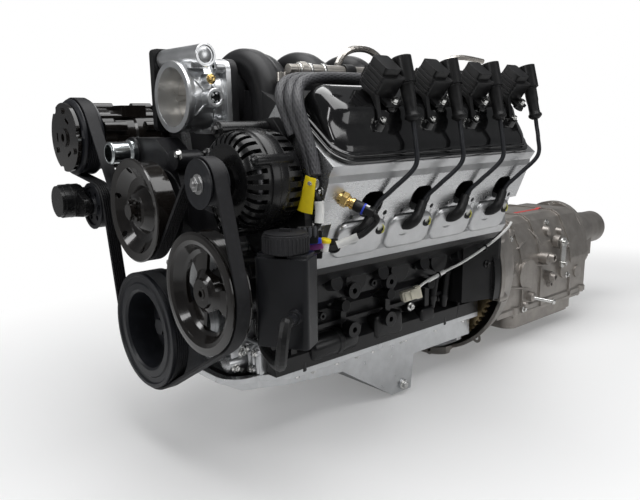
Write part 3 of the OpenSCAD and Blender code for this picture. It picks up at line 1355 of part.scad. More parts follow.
module gearbox_pan() color("#a5a29e") translate([0, block_length + (pan_from + pan_to) / 2, 0])
    difference() {
        union() {
            translate([0, 0, pan_rail_z - 7])
                rounded_box(2 * case_half + 10, pan_to - pan_from, 7, 24);
            translate([0, 0, pan_rail_z - box_pan_depth + 8])
                rounded_box(2 * case_half - 22, pan_to - pan_from - 32, box_pan_depth - 9, 34);
            translate([0, 0, pan_rail_z - box_pan_depth])
                rounded_box(2 * case_half - 34, pan_to - pan_from - 44, box_pan_depth - 9, 30);
            for (x = [-1, 1], y = [-150, -75, 0, 75, 150])
                translate([x * (case_half - 4), y, pan_rail_z - 7]) mirror([0, 0, 1]) bolt_head(4, 5);
        }
        translate([0, 0, pan_rail_z - box_pan_depth + 3])
            rounded_box(2 * case_half - 40, pan_to - pan_from - 50, box_pan_depth, 28);
    }

place() engine_block();
place() main_caps();
place() crankshaft();
place() crank_damper();
place() crank_sprocket();
place() flexplate();
place() torque_converter();
place() camshaft();
place() cam_sprocket();
place() timing_chain();
place() oil_pump();
place() timing_cover();
place() pistons();
place() cylinder_head_left();
place() cylinder_head_right();
place() valve_cover_left();
place() valve_cover_right();
place() rocker_arms();
place() oil_pan();
place() valley_cover();
place() intake_manifold();
place() throttle_body();
place() throttle_plate();
place() throttle_drive_cover();
place() fuel_rails();
place() injectors();
place() water_pump();
place() coolant_neck();
place() water_pump_pulley();
place() alternator();
place() alternator_pulley();
place() steering_pump();
place() steering_pulley();
place() steering_reservoir();
place() reservoir_cap();
place() steering_hose();
place() compressor();
place() compressor_pulley();
place() compressor_clutch();
place() tensioner_base();
place() tensioner_arm();
place() tensioner_pulley();
place() drive_belt();
place() accessory_bracket();
place() compressor_bracket();
place() coils_left();
place() coils_right();
place() plug_leads_left();
place() plug_leads_right();
place() spark_plugs();
place() wiring_loom();
place() cover_bolts();
place() gearbox_case();
place() gearbox_tail();
place() gearbox_pan();
place() output_shaft();
place() shift_lever();
place() vent_pipes();
place() oil_filler_cap();
place() pan_bolts();
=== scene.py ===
"""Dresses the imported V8 engine and gearbox: finishes, smooth pieces, fasteners, wiring and the view."""
import math

import bmesh
import bpy
import numpy as np
from mathutils import Matrix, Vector
from mathutils.bvhtree import BVHTree


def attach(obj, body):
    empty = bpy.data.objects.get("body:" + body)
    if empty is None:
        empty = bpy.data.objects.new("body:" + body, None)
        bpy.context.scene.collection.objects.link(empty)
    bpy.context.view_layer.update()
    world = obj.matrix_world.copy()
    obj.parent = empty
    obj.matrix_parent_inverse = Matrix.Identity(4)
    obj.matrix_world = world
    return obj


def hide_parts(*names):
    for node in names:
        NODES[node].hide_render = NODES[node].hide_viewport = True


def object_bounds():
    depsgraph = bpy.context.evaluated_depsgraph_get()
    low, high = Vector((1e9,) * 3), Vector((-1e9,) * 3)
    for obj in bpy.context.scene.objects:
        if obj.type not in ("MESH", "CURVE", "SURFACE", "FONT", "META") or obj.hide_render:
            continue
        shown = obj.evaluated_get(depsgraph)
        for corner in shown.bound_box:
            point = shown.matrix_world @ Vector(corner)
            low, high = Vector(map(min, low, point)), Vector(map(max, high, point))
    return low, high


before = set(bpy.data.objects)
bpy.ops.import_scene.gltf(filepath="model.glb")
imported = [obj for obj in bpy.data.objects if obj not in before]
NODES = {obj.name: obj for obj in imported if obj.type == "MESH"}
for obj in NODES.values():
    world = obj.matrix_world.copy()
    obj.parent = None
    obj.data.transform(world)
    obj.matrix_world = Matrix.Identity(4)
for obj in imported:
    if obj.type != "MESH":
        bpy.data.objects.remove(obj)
cad_low, cad_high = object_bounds()

# Lengths below are in millimetres in the block's frame, whose Y starts at the block's front face
NOSE = 105.0
ROOT2 = math.sqrt(2.0)
FIRST_BORE, BORE_SPACING, BANK_OFFSET, COIL_BEHIND = 85.0, 111.76, 24.0, 55.0
DECK = 234.7
HEAD_FRONT, HEAD_REAR = 3.0, 502.28
COVER_ORIGIN, COVER_TILT, COVER_W = (17.0, 155.0), math.radians(7.75), 148.4
SIDE_NAME = {1: "left", -1: "right"}


def metres(points):
    """Block frame in millimetres to the model's frame in metres: Y gains the nose's reach."""
    return (np.asarray(points, float) + [0.0, NOSE, 0.0]) * 0.001


def bank_points(points, side):
    """A bank's (u, y, v), u along the deck and v along the bores, turned 45 degrees about Y;
    the right bank is the mirror image in X, set back by the bank offset."""
    u, y, v = np.moveaxis(np.asarray(points, float), -1, 0)
    x, z = (u + v) / ROOT2, (v - u) / ROOT2
    return np.stack([side * x, y + (BANK_OFFSET if side < 0 else 0.0), z], -1)


def cover_points(points, side):
    """A valve cover's (x, y, z), z out of its rail plane, turned by the cover's tilt into the bank."""
    x, y, z = np.moveaxis(np.asarray(points, float), -1, 0)
    c, s = math.cos(COVER_TILT), math.sin(COVER_TILT)
    return bank_points(np.stack([COVER_ORIGIN[0] + x * c - z * s, y,
                                 DECK + COVER_ORIGIN[1] + x * s + z * c], -1), side)


# Shader maths

class Wire:
    """An output of a finish's nodes; arithmetic on it adds Math nodes."""

    def __init__(self, finish, socket):
        self.finish, self.socket = finish, socket

    def maths(self, operation, *values):
        """A Math node on the values."""
        return self.finish.add("ShaderNodeMath", {"operation": operation}, dict(enumerate(values)))

    def __add__(self, other):
        return self.maths("ADD", self, other)

    __radd__ = __add__

    def __sub__(self, other):
        return self.maths("SUBTRACT", self, other)

    def __rsub__(self, other):
        return self.maths("SUBTRACT", other, self)

    def __mul__(self, other):
        return self.maths("MULTIPLY", self, other)

    __rmul__ = __mul__

    def __truediv__(self, other):
        return self.maths("DIVIDE", self, other)

    def highest(self, other):
        return self.maths("MAXIMUM", self, other)

    def sine(self):
        return self.maths("SINE", self)

    def size(self):
        return self.maths("ABSOLUTE", self)

    def fade(self, low, high):
        """0 below low, 1 above high and a smooth step between."""
        return self.finish.add("ShaderNodeMapRange", {"interpolation_type": "SMOOTHSTEP"},
                               {"Value": self, "From Min": low, "From Max": high})


class Finish:
    """A material built node by node."""

    def __init__(self, name="finish"):
        self.material = bpy.data.materials.new(name)
        self.material.use_nodes = True
        self.tree = self.material.node_tree
        self.shader = self.tree.nodes["Principled BSDF"]
        self.place = self.add("ShaderNodeTexCoord", out="Object")

    def add(self, kind, settings=None, values=None, out=0):
        """A node of a kind, with its settings and then its sockets' values or links; gives one output."""
        node = self.tree.nodes.new(kind)
        for key, value in (settings or {}).items():
            setattr(node, key, value)
        for key, value in (values or {}).items():
            self.feed(node.inputs[key], value)
        return Wire(self, node.outputs[out])

    def feed(self, socket, value):
        """Links a wire to a socket, or sets the socket to a value."""
        if isinstance(value, Wire):
            self.tree.links.new(value.socket, socket)
        elif isinstance(value, (tuple, list)) and len(value) == 3 and socket.type == "RGBA":
            socket.default_value = (*value, 1.0)
        else:
            socket.default_value = value

    def mix(self, factor, a, b):
        """Colour a where the factor is 0, b where it is 1."""
        return self.add("ShaderNodeMix", {"data_type": "RGBA"}, {0: factor, 6: a, 7: b}, out=2)

    def noise(self, size, detail=3.0, rough=0.55, stretch=(1.0, 1.0, 1.0)):
        """Noise whose lumps are size millimetres across, drawn out along stretch."""
        scale = 1000.0 / size
        at = self.add("ShaderNodeMapping", {"vector_type": "POINT"},
                      {"Vector": self.place, "Scale": tuple(scale / s for s in stretch)})
        return self.add("ShaderNodeTexNoise", {}, {"Vector": at, "Scale": 1.0, "Detail": detail,
                                                   "Roughness": rough}, out="Fac")

    def parts(self, vector):
        """The X, Y and Z of a vector."""
        node = self.add("ShaderNodeSeparateXYZ", {}, {"Vector": vector}, out="X").socket.node
        return [Wire(self, node.outputs[k]) for k in "XYZ"]

    def normal(self):
        return self.add("ShaderNodeNewGeometry", out="Normal")

    def facing(self, direction):
        """Cosine of the angle between the surface and a fixed direction."""
        n = np.array(direction, float)
        return self.add("ShaderNodeVectorMath", {"operation": "DOT_PRODUCT"},
                        {0: self.normal(), 1: tuple(n / np.linalg.norm(n))}, out="Value")

    def eased(self, radius):
        """The normal with every edge rounded by radius millimetres."""
        return self.add("ShaderNodeBevel", {"samples": 4}, {"Radius": radius * 0.001}, out="Normal")

    def worn(self, eased):
        """How far the eased normal leaves the true one: about 1 on sharp edges."""
        dot = self.add("ShaderNodeVectorMath", {"operation": "DOT_PRODUCT"},
                       {0: eased, 1: self.normal()}, out="Value")
        return (1.0 - dot).fade(0.03, 0.22)

    def bump(self, height, depth, normal=None):
        """Height from 0 to 1 raised by depth millimetres."""
        values = {"Height": height, "Distance": depth * 0.001, "Strength": 1.0}
        if normal is not None:
            values["Normal"] = normal
        return self.add("ShaderNodeBump", {}, values)

    def wear(self, values):
        """Feeds the shader's sockets by name and gives the material."""
        for key, value in values.items():
            self.feed(self.shader.inputs[key], value)
        return self.material


def times(colour, k, more=0.0, most=9.0):
    """A colour k times as bright, and more, with no part over the most."""
    return tuple(min(c * k + more, most) for c in colour)


def cast_paint(colour, rough, coat, grain=1.6, depth=0.16, edge=1.4):
    """Paint over a sand casting: fine lumps, patchy gloss, and lighter rubbed edges."""
    f = Finish()
    eased = f.eased(edge)
    patch = f.noise(38.0, 4.0)
    lumps = f.noise(grain, 3.0, 0.6) * 0.6 + f.noise(grain * 5.0, 2.0) * 0.4
    tone = f.mix(patch.fade(0.35, 0.7), times(colour, 0.75), times(colour, 1.35))
    return f.wear({"Base Color": f.mix(f.worn(eased) * 0.55, tone, (0.06, 0.06, 0.062)),
                   "Roughness": patch * 0.22 + (rough - 0.11), "Coat Weight": coat,
                   "Coat Roughness": 0.18, "Specular IOR Level": 0.3, "Normal": f.bump(lumps, depth, eased)})


def alloy(colour, rough, metal=0.9, grain=1.2, depth=0.09, edge=1.2, machined=(), stain=0.1,
          above=None):
    """Cast aluminium: fine grain and faint stains, with smooth milled faces along given normals. On
    the heads only what lies above a height along the bores, (|x| + z) / root 2, is milled."""
    f = Finish()
    eased = f.eased(edge)
    patch = f.noise(30.0, 5.0, 0.62)
    height = f.noise(grain, 3.0, 0.65) * 0.55 + f.noise(grain * 4.0, 3.0) * 0.45
    tone = f.mix(patch.fade(0.3, 0.72), times(colour, 1.0 - stain * 1.6),
                 times(colour, 1.0 + stain * 0.5, most=0.95))
    level = patch * 0.16 + (rough - 0.08)
    if machined:
        mask = f.facing(machined[0]).fade(0.996, 0.9995)
        for direction in machined[1:]:
            mask = mask.highest(f.facing(direction).fade(0.996, 0.9995))
        if above:
            x, _, z = f.parts(f.place)
            mask = mask * ((x.size() + z) / ROOT2).fade(above, above + 0.001)
        lines = f.noise(3.0, 2.0, 0.5, (1.0, 30.0, 1.0))
        tone = f.mix(mask * 0.75, tone, times(colour, 1.1, most=0.95))
        level = level - mask * 0.1 + mask * lines * 0.08
        height = height * (1.0 - mask * 0.9) + lines * mask * 0.2
    tone = f.mix(f.worn(eased) * 0.5, tone, times(colour, 1.35, most=0.96))
    return f.wear({"Base Color": tone, "Roughness": level, "Metallic": metal,
                   "Normal": f.bump(height, depth, eased)})


def moulded(colour, rough, grain=0.5, depth=0.02, edge=0.8, coat=0.0, worn=0.25, metal=0.0):
    """Moulded plastic or drawn tube: a fine even grain, soft edges and faint patches of gloss."""
    f = Finish()
    eased = f.eased(edge)
    patch = f.noise(45.0, 3.0)
    tone = f.mix(patch.fade(0.3, 0.75), times(colour, 0.85), times(colour, 1.25))
    return f.wear({"Base Color": f.mix(f.worn(eased) * worn, tone, times(colour, 3.0, 0.01)),
                   "Roughness": patch * 0.14 + (rough - 0.07), "Coat Weight": coat, "Coat Roughness": 0.1,
                   "Specular IOR Level": 0.3, "Metallic": metal,
                   "Normal": f.bump(f.noise(grain, 2.0), depth, eased)})


def turned_paint(colour, rough, coat, edge=0.7, worn=0.35):
    """Even paint on a spun or turned part: nearly smooth, with dust and a rubbed edge."""
    f = Finish()
    eased = f.eased(edge)
    dust = f.noise(14.0, 5.0, 0.65)
    tone = f.mix(dust.fade(0.45, 0.8), colour, times(colour, 1.8))
    return f.wear({"Base Color": f.mix(f.worn(eased) * worn, tone, (0.08, 0.078, 0.075)),
                   "Roughness": dust * 0.16 + (rough - 0.08), "Coat Weight": coat, "Coat Roughness": 0.08,
                   "Specular IOR Level": 0.3, "Normal": f.bump(f.noise(2.4, 2.0), 0.012, eased)})


def plated(colour, rough):
    """Plated steel: bright, faintly mottled, edges eased."""
    f = Finish()
    mottle = f.noise(9.0, 4.0, 0.6)
    return f.wear({"Base Color": f.mix(mottle.fade(0.3, 0.75), times(colour, 0.86), colour),
                   "Roughness": mottle * 0.14 + (rough - 0.07), "Metallic": 1.0,
                   "Normal": f.bump(f.noise(0.9, 2.0), 0.006, f.eased(0.5))})


def rubber(colour, rough, grain=0.4):
    """Rubber: dull, with a chalky bloom in patches."""
    f = Finish()
    bloom = f.noise(9.0, 5.0, 0.6)
    return f.wear({"Base Color": f.mix(bloom.fade(0.45, 0.8), colour, times(colour, 1.7, 0.003)),
                   "Roughness": bloom * 0.15 + (rough - 0.07), "Specular IOR Level": 0.25,
                   "Normal": f.bump(f.noise(grain, 2.0), 0.03, f.eased(0.6))})


def braided(colour, count, pitch):
    """Woven sleeve on a tube's own UV map, u round it and v along it in millimetres: two crossed
    sets of ribs, each a sine of round times count plus or minus the length over the pitch."""
    f = Finish()
    u, v, _ = f.parts(f.add("ShaderNodeUVMap", out="UV"))
    round_it, along = u * (2.0 * math.pi * count), v * (2.0 * math.pi / pitch)
    height = (round_it + along).sine().highest((round_it - along).sine()) * 0.5 + 0.5
    # The colour drops to a third in the weave's grooves: painted shade between the ribs.
    return f.wear({"Base Color": f.mix(height, times(colour, 0.35), colour),
                   "Roughness": 0.55 - height * 0.1, "Normal": f.bump(height, 0.5)})


FINISHES = {}


def face_axes(side):
    """The unit vectors out of a head's exhaust face and up along it."""
    return [side * 0.9263, 0.0, -0.3768], [side * 0.3768, 0.0, 0.9263]


def finishes():
    """Every finish of the engine, by its name."""
    ends = (0, -1, 0), (0, 1, 0)
    FINISHES.update({
        "iron_black": cast_paint((0.006, 0.006, 0.0066), 0.32, 0.15),
        "bracket_black": cast_paint((0.007, 0.007, 0.0078), 0.36, 0.1, 1.2, 0.10),
        "pump_black": cast_paint((0.009, 0.009, 0.0105), 0.38, 0.05, 1.2, 0.10, 1.8),
        "head_alloy": alloy((0.57, 0.575, 0.58), 0.34, 0.86, 1.1, 0.12,
                            machined=(face_axes(1)[0], face_axes(-1)[0], *ends), stain=0.06, above=0.2967),
        "pan_alloy": alloy((0.60, 0.61, 0.62), 0.30, 0.92, 1.0, 0.08,
                           machined=((0, 0, 1), (0, -1, 0)), stain=0.07),
        "bright_alloy": alloy((0.70, 0.71, 0.72), 0.30, 0.95, 1.6, 0.05, 0.9, stain=0.05),
        "plate_alloy": alloy((0.70, 0.66, 0.60), 0.2, 1.0, 2.2, 0.01, 0.9, stain=0.05),
        "gearbox_alloy": alloy((0.36, 0.335, 0.31), 0.38, 0.72, 1.4, 0.12, 1.8, stain=0.12),
        "steel": plated((0.48, 0.48, 0.48), 0.3),
        "forged": plated((0.22, 0.22, 0.23), 0.42),
        "zinc": plated((0.74, 0.74, 0.72), 0.24),
        "neck_plate": plated((0.70, 0.74, 0.75), 0.16),
        "tube_steel": plated((0.56, 0.53, 0.49), 0.26),
        "rail_steel": moulded((0.52, 0.49, 0.45), 0.30, 1.4, 0.008, 0.6, worn=0.1, metal=1.0),
        "ring_steel": plated((0.36, 0.28, 0.16), 0.42),
        "brass": plated((0.78, 0.56, 0.22), 0.24),
        "gloss_black": turned_paint((0.0035, 0.0035, 0.0037), 0.16, 1.0, 0.6, 0.1),
        "pulley_black": turned_paint((0.008, 0.0066, 0.0058), 0.16, 0.55),
        "damper_black": turned_paint((0.010, 0.0108, 0.0135), 0.40, 0.0),
        "satin_black": turned_paint((0.006, 0.006, 0.0064), 0.28, 0.15, 0.9),
        # A near-black finish for painted shade inside ports and holes.
        "painted_shade_black": rubber((0.004, 0.0038, 0.0036), 0.75, 1.5),
        "intake_black": moulded((0.012, 0.012, 0.0132), 0.46, 0.8, 0.04, 1.6),
        "plastic_black": moulded((0.009, 0.009, 0.0096), 0.38),
        "tank_black": moulded((0.012, 0.0125, 0.0145), 0.30, 0.9, 0.03, 2.4),
        "cap_grey": moulded((0.024, 0.024, 0.026), 0.42),
        "latch_grey": moulded((0.07, 0.072, 0.078), 0.38),
        "coil_black": moulded((0.009, 0.009, 0.0094), 0.32, 0.4, 0.02, 1.0),
        "lead_black": rubber((0.016, 0.017, 0.020), 0.36),
        "boot_black": rubber((0.009, 0.009, 0.0094), 0.44),
        "belt_black": rubber((0.011, 0.011, 0.0125), 0.5),
        "hose_black": rubber((0.009, 0.009, 0.0094), 0.42),
        "braid": braided((0.055, 0.055, 0.060), 11.0, 14.0),
        "tag_yellow": moulded((0.95, 0.74, 0.02), 0.4, edge=0.3, worn=0.0),
        "lead_white": moulded((0.78, 0.78, 0.76), 0.45, edge=0.4, worn=0.0),
        "plug_cream": moulded((0.66, 0.63, 0.52), 0.45, edge=0.5, worn=0.0),
        "clip_blue": moulded((0.03, 0.06, 0.52), 0.4, edge=0.4, worn=0.0),
        "clip_purple": moulded((0.26, 0.06, 0.22), 0.45, edge=0.4, worn=0.0),
        "stripe_red": moulded((0.55, 0.05, 0.045), 0.5, edge=0.3, worn=0.0),
        "mark_yellow": moulded((0.62, 0.60, 0.14), 0.5, edge=0.3, worn=0.0),
    })
    for name, material in FINISHES.items():
        material.name = name


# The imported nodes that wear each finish
CAD_NODES = {
    "iron_black": "engine_block",
    "forged": "main_caps crankshaft camshaft",
    "damper_black": "crank_damper alternator_pulley compressor_pulley tensioner_pulley",
    "steel": "crank_sprocket cam_sprocket timing_chain rocker_arms output_shaft",
    "ring_steel": "flexplate",
    "satin_black": "torque_converter alternator tensioner_arm",
    "head_alloy": "oil_pump pistons cylinder_head_left cylinder_head_right",
    "pan_alloy": "timing_cover oil_pan",
    "gloss_black": "valve_cover_left valve_cover_right",
    "bracket_black": "valley_cover steering_pump tensioner_base accessory_bracket compressor_bracket",
    "intake_black": "intake_manifold",
    "bright_alloy": "throttle_body",
    "plate_alloy": "throttle_plate",
    "plastic_black": "throttle_drive_cover injectors oil_filler_cap",
    "rail_steel": "fuel_rails",
    "pump_black": "water_pump",
    "neck_plate": "coolant_neck",
    "pulley_black": "water_pump_pulley steering_pulley compressor compressor_clutch",
    "tank_black": "steering_reservoir",
    "cap_grey": "reservoir_cap",
    "hose_black": "steering_hose wiring_loom",
    "belt_black": "drive_belt",
    "coil_black": "coils_left coils_right",
    "lead_black": "plug_leads_left plug_leads_right",
    "zinc": "spark_plugs cover_bolts shift_lever pan_bolts",
    "gearbox_alloy": "gearbox_case gearbox_tail gearbox_pan",
    "tube_steel": "vent_pipes",
}


def wear_finish(piece, name):
    """Gives a piece one finish and takes off any other."""
    piece.data.materials.clear()
    piece.data.materials.append(FINISHES[name])


# Shapes: each gives points (n, 3) and faces (m, 4)

def grid_faces(rows, columns, wrap_rows=False, wrap_columns=True):
    """Quads between neighbouring points of a grid, wrapped round where asked."""
    i = np.arange(rows if wrap_rows else rows - 1)
    j = np.arange(columns if wrap_columns else columns - 1)
    a, b = np.meshgrid(i, j, indexing="ij")
    a, b = a.ravel(), b.ravel()
    c, d = (a + 1) % rows, (b + 1) % columns
    return np.stack([a * columns + b, a * columns + d, c * columns + d, c * columns + b], 1)


def unit(v):
    """Vectors at a length of one."""
    v = np.asarray(v, float)
    return v / np.linalg.norm(v, axis=-1, keepdims=True)


def curve(points, steps):
    """A Catmull-Rom curve through the points: each stretch is the usual cubic of four neighbours."""
    p = np.asarray(points, float)
    q = np.concatenate([p[:1], p, p[-1:]])
    t = np.linspace(0.0, 1.0, steps, endpoint=False)[None, :, None]
    a, b, c, d = (q[k:len(q) - 3 + k][:, None] for k in range(4))
    s = 0.5 * (2 * b + (c - a) * t + (2 * a - 5 * b + 4 * c - d) * t ** 2
               + (3 * b - a - 3 * c + d) * t ** 3)
    return np.concatenate([s.reshape(-1, p.shape[1]), p[-1:]])


def across(path, up):
    """Two unit vectors square to a path at each point, the first square to up as well."""
    t = unit(np.gradient(path, axis=0))
    u = unit(np.cross(t, np.asarray(up, float)))
    return u, np.cross(t, u)


def tube(path, radius, sides, up):
    """Circles of the given radius or radii square to the path, shut at both ends by a ring of no size."""
    path = np.asarray(path, float)
    r = np.broadcast_to(np.asarray(radius, float), (len(path),))
    u, v = across(path, up)
    path, u, v = (np.concatenate([w[:1], w, w[-1:]]) for w in (path, u, v))
    r = np.concatenate([[0.0], r, [0.0]])
    a = np.linspace(0, 2 * math.pi, sides, endpoint=False)
    ring = path[:, None] + r[:, None, None] * (np.cos(a)[None, :, None] * u[:, None]
                                              + np.sin(a)[None, :, None] * v[:, None])
    return ring.reshape(-1, 3), grid_faces(len(path), sides)[:, ::-1]


def axes_along(direction):
    """A right-handed set of unit vectors whose third is the direction."""
    w = unit(direction)
    u = unit(np.cross([0.31, 0.2, 1.0] if abs(w[2]) < 0.9 else [1.0, 0.1, 0.0], w))
    return np.stack([u, np.cross(w, u), w])


def lathe(profile, origin, direction, sides=40, squash=None):
    """A profile of (radius, height) turned about a line from origin along direction. squash, a
    function of the angle, scales the radius, as for a hexagon."""
    p = np.asarray(profile, float)
    a = np.linspace(0, 2 * math.pi, sides, endpoint=False)
    k = np.ones_like(a) if squash is None else squash(a)
    x, y = p[:, :1] * np.cos(a) * k, p[:, :1] * np.sin(a) * k
    local = np.stack([x, y, np.broadcast_to(p[:, 1:2], x.shape)], -1)
    return local.reshape(-1, 3) @ axes_along(direction) + np.asarray(origin, float), \
        grid_faces(len(p), sides)


def hexagon(a):
    """Radius of a hexagon of unit width across flats over its angle: one over the cosine of the
    angle to the nearest flat's middle."""
    return 1.0 / np.cos((a + math.pi / 6) % (math.pi / 3) - math.pi / 6)


def bolt(at, direction, r):
    """A flanged hexagon head: six flats with a rounded top and a shallow dimple, and a dished washer."""
    h = r * 1.05
    return [lathe([(0, 0.6), (r * 0.9, 0.6), (r * 0.9, h - 0.2), (r * 0.86, h + 0.6), (r * 0.72, h + 1.0),
                   (r * 0.55, h + 1.0), (r * 0.45, h + 0.7), (0, h + 0.8)], at, direction, 36, hexagon),
            lathe([(0, 0.05), (r * 1.55, 0.05), (r * 1.6, 0.5), (r * 1.5, 1.1), (r * 1.1, 1.9), (0, 1.9)],
                  at, direction, 28)]


def rounded(w, h, r, n):
    """A rectangle w by h about the origin with corners of radius r, as points going round."""
    a = np.linspace(0, math.pi / 2, n)
    cx, cy = w / 2 - r, h / 2 - r
    turns = [(cx, cy, 0), (-cx, cy, 1), (-cx, -cy, 2), (cx, -cy, 3)]
    return np.concatenate([np.stack([x + r * np.cos(a + k * math.pi / 2),
                                     y + r * np.sin(a + k * math.pi / 2)], 1) for x, y, k in turns])


def stack(outlines, heights, origin, u, v, w):
    """Outlines, each (n, 2) in u and v, set at heights along w and joined, shut at both ends by the
    outline drawn to its middle line."""
    rings = [np.concatenate([o, np.full((len(o), 1), h)], 1) for o, h in zip(outlines, heights)]
    first, last = rings[0].copy(), rings[-1].copy()
    for end in (first, last):
        span = np.ptp(end[:, :2], axis=0)
        long = int(np.argmax(span))
        middle = end[:, :2].mean(0)
        keep = (span[long] - span[1 - long]) / 2
        end[:, long] = middle[long] + np.clip(end[:, long] - middle[long], -keep, keep)
        end[:, 1 - long] = middle[1 - long]
    local = np.stack([first] + rings + [last])
    base = np.stack([np.asarray(u, float), np.asarray(v, float), np.asarray(w, float)])
    return local.reshape(-1, 3) @ base + np.asarray(origin, float), \
        grid_faces(len(local), local.shape[1])


def pad(size, r, edge, origin, u, v, w, n=6):
    """A block with corners of radius r seen along w and its top and bottom edges rounded by edge."""
    a, b, c = size
    outlines, heights = [], []
    for k in np.linspace(0, math.pi / 2, 5):
        d = edge * (1 - math.sin(k))
        outlines.append(rounded(a - 2 * d, b - 2 * d, max(r - d, 0.05), n))
        heights.append(edge * (1 - math.cos(k)))
    outlines += outlines[::-1]
    heights += [c - h for h in heights[::-1]]
    return stack(outlines, heights, origin, u, v, w)


def make(name, shapes, finish, angle=40.0, body="body", replaces=(), uv=None):
    """Joins shapes given in block millimetres into one mesh piece that rides on a body and wears its finish.
    Edges sharper than the angle in degrees stay sharp."""
    points, faces, base = [], [], 0
    for p, f in shapes:
        points.append(np.asarray(p, float))
        faces.append(np.asarray(f) + base)
        base += len(p)
    points, faces = metres(np.concatenate(points)), np.concatenate(faces)
    mesh = bpy.data.meshes.new(name)
    mesh.vertices.add(len(points))
    mesh.vertices.foreach_set("co", points.astype(np.float32).ravel())
    mesh.loops.add(faces.size)
    mesh.loops.foreach_set("vertex_index", faces.ravel().astype(np.int32))
    mesh.polygons.add(len(faces))
    mesh.polygons.foreach_set("loop_start", np.arange(0, faces.size, faces.shape[1], dtype=np.int32))
    mesh.update(calc_edges=True)
    if uv is not None:
        layer = mesh.uv_layers.new(name="UVMap")
        layer.data.foreach_set("uv", np.asarray(uv, np.float32).ravel())
    shell = bmesh.new()
    shell.from_mesh(mesh)
    bmesh.ops.remove_doubles(shell, verts=shell.verts, dist=1e-6)
    bmesh.ops.dissolve_degenerate(shell, edges=shell.edges, dist=1e-7)
    bmesh.ops.recalc_face_normals(shell, faces=shell.faces)
    shell.to_mesh(mesh)
    shell.free()
    mesh.shade_smooth()
    mesh.set_sharp_from_angle(angle=math.radians(angle))
    piece = bpy.data.objects.new(name, mesh)
    bpy.context.scene.collection.objects.link(piece)
    wear_finish(piece, finish)
    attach(piece, body)
    if replaces:
        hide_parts(*replaces)


# Valve covers

def cover_rings(levels, steps, corners=14):
    """Outlines round a cover: at each level a rounded rectangle in the rail plane, given by its height,
    by how far its outer, inner and end sides stand in from the rail's edge, and by its corners' radius."""
    height, outer, inner, ends, r = curve(levels, steps).T
    x1, x0 = -outer, -COVER_W + inner
    y0, y1 = HEAD_FRONT + 5 + ends, HEAD_REAR - 5 - ends
    a = np.linspace(0, math.pi / 2, corners)
    points = []
    quarters = (x1, y1, -1, -1), (x0, y1, 1, -1), (x0, y0, 1, 1), (x1, y0, -1, 1)
    for turn, (x, y, sx, sy) in enumerate(quarters):
        cx, cy = x + sx * r, y + sy * r
        t = a + turn * math.pi / 2
        points.append(np.stack([cx[:, None] + r[:, None] * np.cos(t), cy[:, None] + r[:, None] * np.sin(t),
                                np.broadcast_to(height[:, None], (len(r), corners))], -1))
    return np.concatenate(points, 1)


def valve_cover(side):
    """The rail, its double lip, the long concave flank up to the coils, the shoulder and the flat
    top, then the same levels three millimetres further in, back down to the rail."""
    lip = [(0.2, 1.2, 1.2, 1.2, 34), (3.0, 1.0, 1.0, 1.0, 34), (5.2, 1.4, 1.4, 1.4, 34),
           (6.0, 4.0, 4.0, 3.0, 33), (6.1, 7.2, 7.2, 5.0, 31), (7.0, 8.0, 8.0, 6.0, 30),
           (9.6, 8.2, 8.2, 6.2, 30), (10.9, 9.6, 9.6, 7.4, 29), (11.2, 12.5, 11.5, 8.6, 28)]
    dome = [(13.0, 15.6, 13.4, 10.0, 27), (18.0, 21.0, 14.0, 10.6, 27), (24.0, 33.0, 14.6, 12.0, 27),
            (30.5, 46.0, 15.4, 14.6, 27), (37.0, 54.0, 17.4, 17.6, 26), (42.5, 59.0, 20.5, 21.0, 25),
            (47.0, 64.5, 26.0, 26.0, 24), (49.6, 71.5, 36.0, 33.0, 22), (50.0, 76.0, 43.0, 39.0, 20)]
    outside = cover_rings(lip + dome, 3)
    inside = outside[::-1].copy()
    centre = inside.mean(1, keepdims=True)
    inside[..., :2] = centre[..., :2] + (inside[..., :2] - centre[..., :2]) * (1 - 3.0 / 66)
    inside[..., 2] = np.maximum(inside[..., 2] - 3.0, 0.2)
    seam = []
    for ring in (outside[-1], inside[0]):
        flat = ring.copy()
        mid = flat.mean(0)
        half = (np.ptp(flat[:, 1]) - np.ptp(flat[:, 0])) / 2
        flat[:, 0] = mid[0]
        flat[:, 1] = mid[1] + np.clip(flat[:, 1] - mid[1], -half, half)
        seam.append(flat)
    rings = np.concatenate([outside, seam[0][None]])
    under = np.concatenate([seam[1][None], inside, outside[:1]])
    shapes = [(cover_points(g.reshape(-1, 3), side), grid_faces(len(g), g.shape[1])) for g in (rings, under)]
    for i in range(4):
        y = FIRST_BORE + COIL_BEHIND + i * BORE_SPACING
        for x in (-66.0, -112.0):
            base = cover_points([x, y, 47.0], side)
            shapes.append(lathe([(0, 0), (9.5, 0), (9.0, 4.5), (8.4, 5.6), (0, 5.6)], base,
                                cover_points([x, y, 60.0], side) - base, 32))
        base = cover_points([-46.0, y - 30, 20.0], side)
        shapes.append(lathe([(0, 0), (9.0, 0), (8.0, 12), (7.2, 17.8), (6.4, 18), (0, 18)], base,
                            cover_points([-46.0, y - 30, 60.0], side) - base, 32))
    if side < 0:
        base = cover_points([-100.0, HEAD_FRONT + 58, 44.0], side)
        shapes.append(lathe([(17.2, 0), (25, 0), (24.6, 11.4), (24, 12.0), (17.2, 12)], base,
                            cover_points([-100.0, HEAD_FRONT + 58, 60.0], side) - base, 48))
    make(f"cover_dome_{SIDE_NAME[side]}", shapes, "gloss_black", 50.0,
         replaces=(f"valve_cover_{SIDE_NAME[side]}",))


# Drive belt

